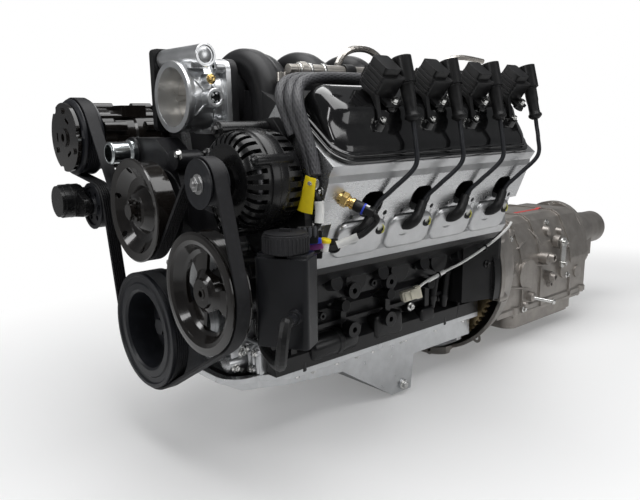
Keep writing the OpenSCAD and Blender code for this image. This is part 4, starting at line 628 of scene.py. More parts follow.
# Each pulley's middle in X and Z, its radius, and 1 where the belt's ribs meet it or -1 where its back does
PULLEYS = [((0.0, 0.0), 94.0, 1), ((170.6, 92.0), 85.0, 1), ((185.4, 244.8), 31.0, 1),
           ((0.0, 192.5), 74.0, -1), ((-227.0, 300.0), 63.0, 1), ((-172.0, 184.0), 38.0, -1)]
BELT_Y, BELT_W, BELT_T, BELT_GAP = -132.0, 21.4, 4.5, 0.5


def belt_path():
    """The belt's middle line in X and Z with its heading: an arc round each pulley, from where the
    straight run before it touches to where the next one leaves."""
    n = len(PULLEYS)
    centres = np.array([p[0] for p in PULLEYS])
    radii = np.array([p[1] for p in PULLEYS]) + BELT_GAP + BELT_T / 2
    sign = np.array([p[2] for p in PULLEYS])
    step = np.roll(centres, -1, 0) - centres
    reach = np.linalg.norm(step, axis=1)
    leave = np.arctan2(step[:, 1], step[:, 0]) + np.arcsin(
        (sign * radii - np.roll(sign * radii, -1)) / reach)
    points, heads = [], []
    for i in range(n):
        start, turn = leave[i - 1], (leave[i] - leave[i - 1]) % (2 * math.pi)
        if sign[i] < 0:
            turn = -((leave[i - 1] - leave[i]) % (2 * math.pi))
        h = start + turn * np.linspace(0, 1, max(4, int(abs(turn) / math.radians(4))))
        a = h - math.pi / 2 * sign[i]
        points.append(centres[i] + radii[i] * np.stack([np.cos(a), np.sin(a)], 1))
        heads.append(h)
    return np.concatenate(points), np.concatenate(heads)


def drive_belt():
    """A flat back with rounded edges and six ribs inside, carried along the belt's middle line."""
    path, heads = belt_path()
    right = np.stack([np.sin(heads), -np.cos(heads)], 1)
    pitch = BELT_W / 6
    profile = [(-BELT_W / 2, 1.7), (-BELT_W / 2 + 0.6, 2.25), (BELT_W / 2 - 0.6, 2.25), (BELT_W / 2, 1.7)]
    for k in range(6):
        y = BELT_W / 2 - (k + 0.5) * pitch
        profile += [(y + pitch * 0.47, -0.3), (y + pitch * 0.2, -2.2), (y - pitch * 0.2, -2.2),
                    (y - pitch * 0.47, -0.3)]
    profile = np.array(profile)
    off = profile[:, 1]
    grid = np.stack([path[:, None, 0] + off * right[:, None, 0],
                     np.broadcast_to(BELT_Y + profile[:, 0], (len(path), len(profile))),
                     path[:, None, 1] + off * right[:, None, 1]], -1)
    make("ribbed_belt", [(grid.reshape(-1, 3), grid_faces(len(path), len(profile), True))], "belt_black",
         30.0, replaces=("drive_belt",))


# Plug leads

# The exhaust face's top edge as out and height, how far out it is at the deck, and the plugs' height
FACE_TOP, HEAD_OUT, PLUG_UP = (26.0, 131.0), 81.0, 52.0
# Both ends of a coil's boot in its cover's own frame
BOOT_TOP, BOOT_LOW = np.array([-112.0, 24.0, 104.0]), np.array([-38.0, 24.0, 48.0])


def face_at(h):
    """How far out the exhaust face stands along the deck at a height h over it."""
    return HEAD_OUT - h * (HEAD_OUT - FACE_TOP[0]) / FACE_TOP[1]


def mirrored(points, side):
    """A left bank point as it is, or its image on the right bank."""
    p = np.array(points, float)
    return p if side > 0 else p * [-1, 1, 1] + [0, BANK_OFFSET, 0]


def on_face(i, behind, high, side=1):
    """The point of a head's exhaust face at a height over the deck, so far behind bore i."""
    along = FIRST_BORE + i * BORE_SPACING + behind
    return mirrored(bank_points([face_at(high), along, DECK + high], 1), side)


def plug_leads(side):
    """For each plug: a ribbed boot on the coil's tower, a lead on one smooth curve, and an L-shaped
    boot that goes into the plug's hole."""
    boots, leads = [], []
    for i in range(4):
        y = FIRST_BORE + COIL_BEHIND + i * BORE_SPACING
        top = cover_points(BOOT_TOP + [0, y, 0], 1)
        low = cover_points(BOOT_LOW + [0, y, 0], 1)
        joint = top + 0.40 * (low - top)
        way = unit(low - joint)
        long = np.linalg.norm(low - joint)
        hole = on_face(i, -6.0, PLUG_UP)
        elbow = hole + [22, 0, 0]
        leg = elbow + [-2, 27, 35]
        collar = [(0, 0), (11.6, 0), (12.6, 0.8), (12.6, 3.2), (11.6, 4), (10.9, 5), (10.6, long * 0.45),
                  (9.6, long * 0.55), (9.4, long * 0.8), (9.9, long - 7), (11.6, long - 5.6),
                  (12, long - 3.6), (11.6, long - 1.2), (9.6, long + 0.6), (6.6, long + 3),
                  (4.2, long + 3.4), (0, long + 3.4)]
        foot = mirrored(joint, side)
        boots.append(lathe(collar, foot, mirrored(joint + way, side) - foot, 28))
        bend = curve([hole + [-6, 0, 0], hole + [6, 0, 0], hole + [15, 1, 2], elbow + [1, 5, 9],
                      elbow + [0, 15, 20], leg - [0, 2, 2.6], leg], 5)
        r = np.interp(np.linspace(0, 1, len(bend)), [0, 0.1, 0.45, 0.6, 0.93, 0.97, 1.0],
                      [8.6, 9.0, 9.2, 8.6, 7.4, 7.0, 5.4])
        boots.append(tube(mirrored(bend, side), r, 22, (0.3, -0.2, 1.0)))
        tip = unit(leg - elbow)
        line = curve([low + way * 2, low + [4, -1, -16], low + [10, -4, -36], low + [14, -9, -68],
                      leg + [15, 24, 28], leg + [4, 8, 11], leg - 2 * tip], 10)
        leads.append(tube(mirrored(line, side), 3.7, 14, (1.0, 0.1, 0.3)))
    make(f"plug_boots_{SIDE_NAME[side]}", boots, "boot_black", 50.0)
    make(f"plug_lead_wires_{SIDE_NAME[side]}", leads, "lead_black", 60.0,
         replaces=(f"plug_leads_{SIDE_NAME[side]}",))


# Wiring

# The middle lines of the loom's sleeves
LOOM = [
    [[170, 430, 388], [170, 300, 388], [169, 190, 388], [168, 110, 388], [171, 62, 386],
     [180, 30, 381], [194, 8, 371], [208, -5, 352], [220, -6, 328], [233, -6, 302],
     [247, -7, 274], [258, -9, 246]],
    [[155, 430, 389], [155, 300, 389], [154, 190, 389], [153, 110, 389], [156, 60, 388],
     [163, 30, 383], [173, 8, 373], [186, -5, 354], [199, -5, 330], [213, -5, 304]],
    [[185, 290, 388], [185, 200, 388], [184, 110, 388], [187, 64, 386], [196, 30, 379],
     [210, 8, 367], [226, -6, 348], [238, -7, 322], [249, -7, 296], [259, -8, 272],
     [266, -10, 252]]]


def tube_uv(path, sides):
    """A wrapped grid's UV: u from 0 to 1 round the tube and v the distance along it in millimetres,
    for each corner of each quad, in the faces' own order."""
    run = np.concatenate([[0.0], np.cumsum(np.linalg.norm(np.diff(path, axis=0), axis=1))])
    run = np.concatenate([run[:1], run, run[-1:]])
    i, j = np.meshgrid(np.arange(len(run) - 1), np.arange(sides), indexing="ij")
    i, j = i.ravel(), j.ravel()
    corners = [(run[i], j), (run[i], j + 1), (run[i + 1], j + 1), (run[i + 1], j)][::-1]
    return np.stack([np.stack([c / sides, r], 1) for r, c in corners], 1).reshape(-1, 2)


def wiring():
    """The loom's three woven sleeves: tubes with a UV map for the braid's pattern."""
    paths, sides = [curve(p, 6) for p in LOOM], 20
    make("loom_sleeves", [tube(p, 8.0, sides, (1.0, 0.1, 0.2)) for p in paths], "braid", 70.0,
         replaces=("wiring_loom",), uv=np.concatenate([tube_uv(p, sides) for p in paths]))


# Small pieces

MOTOR_CAP = np.array([58.0, -46.0, 422.0])
PORT_BOSS = np.array([64.0, -36.0, 360.0])
BRASS_SCREW = np.array([59.0, -38.0, 388.0])
LEFT, FRONT, BACK, TOP = np.array([[1.0, 0, 0], [0, -1.0, 0], [0, 1.0, 0], [0, 0, 1.0]])
TOWARD_EYE = unit([0.71, -0.66, 0.13])
SURFACES = {}


def seat(node, point, direction):
    """Where a line through the point, coming in against the direction, first meets a node's surface,
    or the point itself where it meets none."""
    if node not in SURFACES:
        SURFACES[node] = BVHTree.FromObject(NODES[node], bpy.context.evaluated_depsgraph_get())
    way = unit(direction)
    start = metres(point) + way * 0.2
    place = SURFACES[node].ray_cast(start.tolist(), (-way).tolist())[0]
    return np.array(point, float) if place is None else np.array(place) * 1000.0 - [0, NOSE, 0]


def around(direction, up=(0.0, 0.0, 1.0)):
    """Unit vectors u, v and w: w along the direction and v as near to up as can be."""
    w = unit(direction)
    u = unit(np.cross(up, w))
    return u, np.cross(w, u), w


def block(size, r, edge, at, direction, up=(0.0, 0.0, 1.0)):
    """A rounded block, wide by high by deep, whose back rests at a point and faces a direction."""
    return pad(size, r, edge, at, *around(direction, up))


def flag(top_left, top_right, low_left, low_right, bow, thick, steps=9):
    """A thin sheet between four corners, bowed outward by a sine of the way across, as closed rings
    that go over its front and back along its back, one for each step down."""
    t, s = np.linspace(0, 1, steps)[:, None, None], np.linspace(0, 1, steps)[None, :, None]
    corners = [np.array(c, float) for c in (top_left, top_right, low_left, low_right)]
    front = (corners[0] * (1 - s) + corners[1] * s) * (1 - t) + (corners[2] * (1 - s) + corners[3] * s) * t
    out = unit(np.cross(corners[2] - corners[0], corners[1] - corners[0]))
    front = front + out * bow * np.sin(math.pi * s)
    rings = np.concatenate([front, front[:, ::-1] - out * thick], 1)
    ends = [0.5 * (r + r[::-1]) for r in (rings[0], rings[-1])]
    grid = np.concatenate([ends[:1], rings, ends[1:]])
    return grid.reshape(-1, 3), grid_faces(len(grid), grid.shape[1])


def port_shade_cups(side):
    """A near-black cup inside each exhaust port, of the port's rounded outline and a millimetre thick:
    painted shade in the port.
    """
    out, up = face_axes(side)
    wide, tight = rounded(41.5, 47.5, 16.8, 6), rounded(39.5, 45.5, 15.8, 6)
    cups = []
    for i in range(4):
        at = on_face(i, 18.4, 93.0, side)
        cups.append(stack([wide, wide, tight, tight], [-33.8, -0.8, -0.8, -32.8], at, (0, 1, 0), up, out))
    # The cups wear a near-black finish: painted shade inside the ports.
    make(f"port_shade_cups_{SIDE_NAME[side]}", cups, "painted_shade_black", 50.0)


def plug_pads(side):
    """The raised cast pad round each spark plug, below its port, with rounded corners and edges."""
    out, up = face_axes(side)
    pads = []
    for i in range(4):
        at = on_face(i, 10.0, 41.0, side) - np.array(out) * 13.0
        pads.append(pad((103.0, 58.0, 20.0), 17.0, 6.0, at, (0, 1, 0), up, out, 9))
    make(f"plug_pads_{SIDE_NAME[side]}", pads, "head_alloy")


def deck_plugs(side):
    """A round plug in the recess beside each spark plug, with a dab of yellow paint on its edge."""
    plugs, dabs = [], []
    for i in range(4):
        at = on_face(i, 45.9, PLUG_UP, side) + [side * 8.4, 0, 0]
        way = np.array([side, 0.0, 0.0])
        plugs.append(lathe([(0, -9), (9.1, -9), (9.1, -1.5), (8.2, 0.2), (6.4, 0.6), (5.6, -1.4), (4.6, -2.0),
                            (0, -2.0)], at, way, 32))
        rim = [at + np.array([side * 0.6, 7.2 * math.cos(a), 7.2 * math.sin(a)])
               for a in np.linspace(-1.2, 1.5, 12)]
        dabs.append(tube(np.array(rim), 1.0 + 0.5 * np.sin(np.linspace(0, 9, 12)) ** 2, 8, (1.0, 0.1, 0.1)))
    make(f"deck_plugs_{SIDE_NAME[side]}", plugs, "satin_black")
    make(f"paint_dabs_{SIDE_NAME[side]}", dabs, "mark_yellow", 60.0)


def coolant_sensor():
    """A brass sensor screwed into the left head: a round shoulder, a hexagon and a collar, then a black
    plug with a blue ring and a grey clip, and its lead that turns back to the plugs by the bracket."""
    base, way = np.array([266.4, 34.3, 218.4]), unit([0.74, 0.50, -0.42])
    make("sensor_brass", [
        lathe([(0, -4), (8.0, -4), (8.0, 2.5), (0, 2.5)], base, way, 36),
        lathe([(0, 2.5), (8.6, 2.5), (9.6, 3.5), (9.6, 11), (8.6, 12), (0, 12)], base, way, 36, hexagon),
        lathe([(0, 12), (8.4, 12), (8.8, 14), (7.2, 15), (7.2, 17), (8.6, 18), (8.6, 22), (6.5, 23.5),
               (0, 23.5)], base, way, 36)], "brass", 35.0)
    _, v, w = around(way)
    make("sensor_plug", [
        lathe([(0, 22.5), (7.6, 22.5), (8.4, 24), (8.4, 37), (7.6, 38), (0, 38)], base, way, 32),
        block((13, 12, 15), 3, 1.2, base + way * 38, way)], "plastic_black", 35.0)
    make("sensor_ring", [lathe([(7.9, 36), (8.8, 36), (8.9, 38.4), (7.9, 38.6)], base, way, 32)], "clip_blue",
         35.0)
    clip = base + way * 40 + v * 6.0
    make("sensor_clip", [block((9, 8, 1.4), 1.2, 0.5, clip, v, w)], "lead_white", 35.0)
    end = base + way * 52
    lead = curve([end - way * 3, end + way * 5 - [0, 0, 2], end + [2, 4, -12], [296, 52, 168], [284, 40, 160],
                  [272, 26, 153]], 8)
    make("sensor_lead", [tube(lead, 4.2, 14, (1.0, 0.1, 0.3))], "hose_black", 60.0)
    sleeve = curve([[290, 46, 164], [280, 36, 158], [270, 24, 152]], 8)
    make("sensor_sleeve", [tube(sleeve, 5.6, 18, (1.0, 0.1, 0.3))], "lead_white")


def charge_lead():
    """The alternator's terminal: a black post with a nut, a bare yellow flag on its ring, and a lead
    in a white sleeve down to the plugs by the bracket."""
    post, way = np.array([256.0, -3.0, 240.0]), unit([0.45, -0.88, 0.10])
    make("charge_post", [lathe([(0, -8), (9, -8), (9, 8), (8, 9.5), (0, 9.5)], post, way, 32)],
         "plastic_black")
    tip = post + way * 9.5
    lug = seat("cylinder_head_left", [258.5, -20, 229.0], FRONT)
    make("charge_nut", bolt(tip, way, 6.2) + [
        lathe([(0, 6.0), (3.1, 6.0), (3.1, 11.0), (2.6, 11.8), (0, 11.8)], tip, way, 20),
        *bolt(lug, FRONT, 4.6)], "zinc", 35.0)
    shift = TOWARD_EYE * 4
    make("charge_flag", [flag([254, -18, 252] + shift, [268, -12, 248] + shift, [237, -20, 203] + shift,
                              [260.5, -13, 198.6] + shift, 2.5, 1.1)], "tag_yellow", 60.0)
    line = curve([tip - way * 4 - [0, 0, 4], tip + [1, 3, -14], [268, -7, 218], [269, -7, 202],
                  [269, -9, 187], [262, -14, 174]], 8)
    make("charge_cable", [tube(line, 4.6, 14, (1.0, 0.1, 0.3))], "hose_black", 60.0)
    sleeve = curve([[269, -8, 217], [269.4, -7, 202], [269.6, -8.6, 187]], 8)
    make("charge_sleeve", [tube(sleeve, 6.4, 20, (1.0, 0.1, 0.3))], "lead_white")


def plug_cluster():
    """The plugs clipped together on the bracket: a black holder with grey latches, a blue and a purple
    lock, a yellow seal, a white body and a round black plug."""
    def near(point, t):
        return np.array(point, float) + way * t

    way = TOWARD_EYE
    make("plug_holder", [block((30, 24, 12), 3, 1.5, near([256, -18, 170], 2), way),
                         block((20, 16, 12), 3, 1.5, near([251, -3, 150], 2), way),
                         lathe([(0, 0), (9.5, 0), (9.5, 11), (8.4, 12.4), (6.6, 12.4), (6.2, 10.8),
                                (0, 10.8)], near([252, 34, 151], 4), [0.6, -0.5, -0.5], 32),
                         block((16, 40, 8), 2, 1, [247, 6, 152], way)], "plastic_black", 35.0)
    latches = []
    for i in range(4):
        at = near([256, -18, 173], 13.0) + np.array([0.66, 0.75, 0]) * (i * 7.0 - 10) + [0, 0, 0.6 * i]
        latches.append(block((4.6, 12, 2.2), 1.2, 0.6, at, way))
        latches.append(block((2.0, 16, 3.2), 0.8, 0.4, at, way))
    make("plug_latches", latches, "latch_grey", 35.0)
    make("lock_blue", [block((24, 8, 14), 1.6, 0.8, near([256.3, -8.2, 160.4], 6.0), way, (-0.25, 0.1, 1))],
         "clip_blue", 35.0)
    make("lock_purple", [block((20, 8, 13), 1.6, 0.8, near([253.5, -0.5, 151.2], 6.0), way, (-0.35, 0.1, 1))],
         "clip_purple", 35.0)
    stem = unit([0.16, 0.1, 1.0])
    low = near([251.0, 15.5, 143.0], 11)
    make("seal_yellow", [lathe([(0, 12.6), (8.0, 12.6), (8.6, 13.6), (8.6, 16.6), (8.0, 17.6), (0, 17.6)],
                               low, stem, 32)], "tag_yellow", 35.0)
    ribs = [(0, 0), (6.8, 0)]
    for k in range(4):
        ribs += [(7.2, 1 + 3 * k), (7.2, 2.6 + 3 * k), (6.5, 3.0 + 3 * k), (6.5, 3.8 + 3 * k)]
    make("plug_white", [lathe(ribs + [(0, 12.8)], low, stem, 32)], "lead_white", 35.0)


def side_lead():
    """The white lead along the block: from behind the head it dips to its plug, held by two clips."""
    line = curve([[201, 572, 116], [203, 556, 106], [204, 524, 92], [203, 498, 82], [196, 466, 67],
                  [184, 432, 50], [177, 404, 41], [172, 373, 32.0], [171, 336, 24], [169, 322, 16]], 8)
    make("side_lead", [tube(line, 2.6, 12, (1.0, 0.1, 0.2))], "lead_white", 60.0)
    sleeve = curve([[174.6, 392, 37.6], [172, 373, 32.0], [171.2, 350, 26.8]], 8)
    make("side_sleeve", [tube(sleeve, 4.0, 16, (1.0, 0.1, 0.2))], "lead_white")
    way, up = unit([0.9, -0.42, 0.05]), (0.1, -0.3, 1.0)
    plug = np.array([160.0, 306.0, 7.0])
    u, _, w = around(way, up)
    shapes = [block((36, 19, 15), 2.5, 1.2, plug, way, up),
              block((12, 24, 11), 2, 1, plug + u * 15 + w * 2, way, up)]
    for k in (-1, 1):
        shapes.append(block((5, 15, 3), 1, 0.6, plug + u * (6 * k - 6) + w * 14.4, way, up))
    make("side_plug", shapes, "plug_cream", 35.0)
    clips = []
    for p, q in (([200.4, 484, 75], [180, 484, 72]), ([172.4, 376, 33], [140, 376, 30])):
        p, q = np.array(p, float), np.array(q, float)
        hook = curve([q, 0.5 * (p + q) - [0, 0, 3], p - [2, 0, 5.2], p + [3.5, 0, -4.4], p + [5.2, 0, 0],
                      p + [2.5, 0, 4.6], p + [-3, 0, 4.6]], 4)
        clips.append(tube(hook, 1.5, 10, (0.1, 1.0, 0.1)))
    make("side_clips", clips, "plastic_black", 50.0)


def skirt_x(y):
    """How far out the block's skirt stands above the pan's rail: a shallow parabola about its middle."""
    return 133.4 + 2.4e-4 * (y - 245.0) ** 2


def block_castings():
    """What is cast or screwed on the block's left side: bosses at the ends of short arms, two upright
    canisters, a ribbed barrel, two rounded boxes, lugs and ribs along the skirt, a knock sensor's boss
    with its bright screw, and the cover plate's screw."""
    arms = []
    for x, y, z, dy, dz in ((158, 132, 60, -18, 10), (156, 147, 17, -26, 4), (154, 99, 5, -20, 12),
                            (157, 218, 42, -12, 16), (160, 330, 55, -8, 18)):
        tip = np.array([x, y, z], float)
        foot = tip + [-26, dy, dz]
        arms.append(tube(np.array([foot, 0.5 * (foot + tip) - [3, 0, 0], tip - [4, 0, 0]]), [8.5, 5.6, 5.0],
                         16, (0.1, 0.3, 1.0)))
        arms.append(lathe([(0, -9), (6.6, -9), (6.9, -1), (6.2, 0), (3.1, 0), (2.9, -1), (2.7, -5), (0, -5)],
                          tip, LEFT, 28))
    for y, z, dy in ((404, 34, -11), (439, 30, -9)):
        top, low = np.array([145.0, y, z]), np.array([143.0, y + dy, z - 76])
        arms.append(lathe([(0, 0), (7.4, 0), (8.8, 3), (8.8, 8), (7.9, 9), (7.9, 50), (9.0, 51), (9.0, 60),
                           (7.6, 62), (7.4, 74), (6, 76), (0, 76)], top, low - top, 28))
    knock = np.array([130.0, 330.0, -26.0])
    arms.append(lathe([(0, 0), (13, 0), (12, 12), (10, 16), (9.4, 17), (0, 17)], knock, [1, -0.1, 0.05], 32))
    arms.append(lathe([(0, 0), (14, 0), (13, 6), (12, 18), (11.2, 19), (9, 19), (8.4, 16), (0, 16)],
                      [134.0, 462.0, -26.0], [1, -0.2, 0.1], 32))
    barrel = [(0, 0), (15, 0), (20, 3), (22, 8), (22, 60), (24, 62), (24, 72), (22, 74), (22, 102), (19, 108),
              (12, 111), (0, 111)]
    arms.append(lathe(barrel, [138.0, 72.0, -52.0], [-0.02, 1, 0.01], 40))
    arms.append(block((74, 44, 26), 10, 6, [128.0, 262.0, -46.0], [1, 0, 0.05]))
    arms.append(block((40, 26, 22), 8, 4, [132.0, 372.0, -50.0], [1, 0, 0.1]))
    for y in (60.0, 150.0, 245.0, 335.0, 430.0):
        x = skirt_x(y)
        arms.append(block((30, 12, 12), 5, 2.5, [x - 4, y, -78.0], LEFT))
        arms.append(lathe([(0, 0), (6.4, 0), (7.4, 1.5), (7.4, 24), (5.4, 30), (0, 31)], [x + 2.5, y, -84.0],
                          [-0.08, 0, 1], 24))
    for y in (105.0, 196.0, 290.0, 385.0, 470.0):
        x = skirt_x(y)
        rib = np.array([[x - 4, y, -84.0], [x + 1, y, -76.0], [x + 1.5, y + 2, -60.0], [x + 3, y + 6, -34.0]])
        arms.append(tube(rib, [3.2, 4.0, 3.6, 2.6], 14, (0.1, 1.0, 0.1)))
    make("block_castings", arms, "iron_black")
    way = unit([1, -0.1, 0.05])
    make("knock_screw", bolt(knock + way * 16.6, way, 5.2), "zinc", 35.0)
    make("plate_screw", bolt(seat("engine_block", [300, 505, 38], LEFT), LEFT, 5.0), "satin_black", 35.0)


def screws():
    """Bright screws on the pump, the timing cover, the sump and the pan's rail, and the drain screw."""
    heads = []
    for node, point, way, r in (
            ("water_pump", [60.0, -100, 277], FRONT, 5.5), ("timing_cover", [200, -24, -44], LEFT, 5.0),
            ("timing_cover", [200, -40, -66], LEFT, 5.0), ("timing_cover", [200, -24, -76], LEFT, 4.6),
            ("oil_pan", [104, 400, -118], FRONT, 5.2), ("oil_pan", [118, 400, -98], FRONT, 5.2),
            ("oil_pan", [92, 400, -131], FRONT, 5.2), ("oil_pan", [200, 200, -96.5], LEFT, 3.4),
            ("oil_pan", [200, 320, -96.5], LEFT, 3.4), ("oil_pan", [200, 95, -96.5], LEFT, 3.4)):
        heads += bolt(seat(node, point, way), way, r)
    make("bright_screws", heads, "zinc", 35.0)
    drain = seat("oil_pan", [200, 326, -187], LEFT)
    make("drain_screw", [lathe([(0, -3), (11, -3), (10.4, 3), (9, 4), (0, 4)], drain, LEFT, 32)], "pan_alloy")
    make("drain_plug", bolt(drain + [4, 0, 0], LEFT, 6.4), "zinc", 35.0)


def throttle_details():
    """On the throttle body's left side: the motor cap's raised rim, a brass screw, the port boss's rim round
    a flat near-black disc, painted shade standing in for its hole, and four webs from it."""
    bright = [lathe([(13.6, -1), (13.6, 1.0), (14.6, 2.2), (16.6, 2.2), (17.5, 1.4), (17.5, -3), (15.0, -3)],
                    MOTOR_CAP, LEFT, 48),
              lathe([(0, 0), (11.0, 0), (11.0, 1.0), (10.0, 1.8), (0, 1.8)], MOTOR_CAP, LEFT, 40),
              lathe([(8.6, -1), (8.6, 3.0), (9.6, 4.0), (13.4, 4.0), (14.5, 3.0), (14.5, -3), (12.0, -3)],
                    PORT_BOSS, LEFT, 44)]
    for y, z in ((-18.0, 402.0), (-18.0, 322.0), (-58.0, 388.0), (-58.0, 334.0)):
        reach = np.array([90.0, y, z]) - PORT_BOSS
        line = np.array([seat("throttle_body", PORT_BOSS + reach * [1, t, t], LEFT)
                         for t in np.linspace(0.12, 1.0, 7)])
        line = line[line[:, 0] < 80.0]
        if len(line) > 2:
            bright.append(tube(line, [2.6] * (len(line) - 1) + [1.2], 12, (0.2, 1.0, 0.1)))
    make("throttle_rims", bright, "bright_alloy")
    # A flat near-black disc in the boss: painted shade where the hole is.
    make("throttle_port_shade_disc", [lathe([(0, -2), (8.8, -2), (8.8, 0.5), (0, 0.5)], PORT_BOSS, LEFT, 32)], "painted_shade_black")
    make("throttle_screw", bolt(BRASS_SCREW, LEFT, 5.0), "brass", 35.0)


def front_wing():
    """The timing cover's cast wing beside the pan's front corner: a rounded plate with upright ribs and
    three bright screws."""
    wing = [block((50, 58, 15), 5, 2.5, [100.0, 2.0, -52.0], FRONT)]
    for x in (82.0, 95.0, 108.0, 118.0):
        wing.append(lathe([(0, 0), (3.0, 0), (4.4, 1.5), (4.4, 44), (3.2, 48), (0, 49)], [x, -12.0, -77.0],
                          TOP, 20))
    heads = []
    for x, z in ((96.0, -36.0), (118.0, -40.0), (108.0, -70.0)):
        wing.append(lathe([(0, -6), (7.6, -6), (7.6, 5), (7, 6), (0, 6)], [x, -13.0, z], FRONT, 28))
        heads += bolt([x, -18.6, z], FRONT, 4.6)
    make("front_wing", wing, "pan_alloy")
    make("wing_screws", heads, "zinc", 35.0)


def rail_cap():
    """The black sleeve on the fuel rail and the grey fittings at its front end."""
    make("rail_sleeve", [lathe([(9.0, 0), (11.2, 0), (11.6, 2), (11.6, 20), (11.2, 22), (9.0, 22)],
                               [122, 176, 402], BACK, 32)], "plastic_black")
    make("rail_rings", [lathe([(8.0, 0), (10.4, 0), (10.8, 1), (10.8, 5), (10.4, 6), (8.0, 6)],
                              [122, y, 402], BACK, 32) for y in (79, 100, 128)], "zinc")


def neck_bead():
    """The raised bead near the hose neck's mouth, which keeps the hose on."""
    make("neck_bead", [lathe([(16.9, 0), (18.0, 0.6), (18.6, 1.8), (18.6, 2.6), (18.0, 3.8), (16.9, 4.6)],
                             [-96, -135.6, 276], FRONT, 64)], "neck_plate", 60.0)


# Alternator

# The shaft's place, the slots round the case, those that a through-bolt's boss closes, and their depth
ALT_AT, ALT_SLOTS, ALT_BOSSES, ALT_DEEP = np.array([185.4, 0.0, 244.8]), 30, (2, 12, 22), 8.0


def alternator():
    """The case turned from its profile of radius and Y, with a ring of slots through the front shoulder
    and another behind the smooth middle band. In a slot the skin stands in by the slots' depth along
    its normal."""
    profile = np.array([
        (0, -101), (23, -101), (24, -103.6), (25, -104), (48, -104), (51.6, -103.8), (52, -103.7), (57, -102),
        (61.5, -99), (65, -94.5), (67, -89), (67.8, -84), (68, -80.4), (68, -80), (68, -76), (68.4, -75),
        (71, -74.4), (71.3, -73.5), (71.3, -63), (70.7, -62.4), (70.7, -61.4), (71.3, -60.8), (71.3, -49),
        (70.8, -48), (69.2, -47), (69.2, -45), (69.2, -44.6), (69.2, -38), (69, -32), (68, -27), (66.4, -23),
        (66.2, -22.6), (63, -18), (59, -14.6), (57, -14), (0, -14)])
    tangent = np.gradient(profile, axis=0)
    inward = unit(np.stack([-np.abs(tangent[:, 1]) - 1e-6, np.abs(tangent[:, 0]) * np.sign(
        -60.0 - profile[:, 1])], 1))
    rows = np.zeros(len(profile))
    rows[6:13] = rows[26:31] = 1.0
    fraction = np.array([0.0, 0.03, 0.16, 0.30, 0.44, 0.47, 0.66, 0.84])
    deep = np.array([0.0, 1, 1, 1, 1, 0, 0, 0])
    a = (np.arange(ALT_SLOTS)[:, None] + fraction[None]) * (2 * math.pi / ALT_SLOTS)
    columns = np.tile(deep, (ALT_SLOTS, 1))
    columns[list(ALT_BOSSES)] = 0.0
    a, columns = a.ravel(), columns.ravel()
    depth = rows[:, None] * columns[None, :] * ALT_DEEP
    r = profile[:, :1] + inward[:, :1] * depth
    y = profile[:, 1:] + inward[:, 1:] * depth
    grid = np.stack([ALT_AT[0] + r * np.cos(a), np.broadcast_to(y, r.shape), ALT_AT[2] + r * np.sin(a)], -1)
    shapes = [(grid.reshape(-1, 3), grid_faces(len(profile), len(a)))]
    heads = []
    for k in ALT_BOSSES:
        turn = (k + 0.25) * 2 * math.pi / ALT_SLOTS
        at = ALT_AT + [67.5 * math.cos(turn), -97, 67.5 * math.sin(turn)]
        shapes.append(lathe([(0, 0), (6.4, 0), (7.4, 1.2), (7.4, 60), (6.4, 62), (0, 62)], at, BACK, 28))
        heads += bolt(at, FRONT, 3.8)
    for degrees in (110, 250):
        turn = math.radians(degrees)
        at = ALT_AT + [73 * math.cos(turn), -96, 73 * math.sin(turn)]
        shapes.append(lathe([(0, 0), (11, 0), (12, 1), (12, 81), (11, 82), (0, 82)], at, BACK, 36))
        heads += bolt(at, FRONT, 6.0)
    make("alternator_case", shapes, "satin_black", 32.0, replaces=("alternator",))
    make("alternator_bolts", heads, "satin_black", 35.0)
    make("alternator_windings", [lathe([(58.5, 0), (60.0, 2), (60.0, 8), (58.5, 10)], ALT_AT + [0, -90, 0],
                                       BACK, 120)], "forged", 50.0)


def pulley_nut():
    """The nut and washer on the alternator's shaft."""
    at = ALT_AT + [0, -146.0, 0]
    make("pulley_nut", [lathe([(0, -1), (13, -1), (13.6, 0), (13.6, 1.2), (0, 1.4)], at, FRONT, 40),
                        lathe([(0, 1), (8.6, 1), (9.0, 1.8), (9.0, 6.4), (8.2, 7.2), (0, 7.2)], at, FRONT,
                              36, hexagon),
                        lathe([(0, 7), (4.6, 7), (4.6, 9.4), (4.0, 10), (0, 10)], at, FRONT, 28)],
         "steel", 35.0, body="alternator_rotor")


# Gearbox

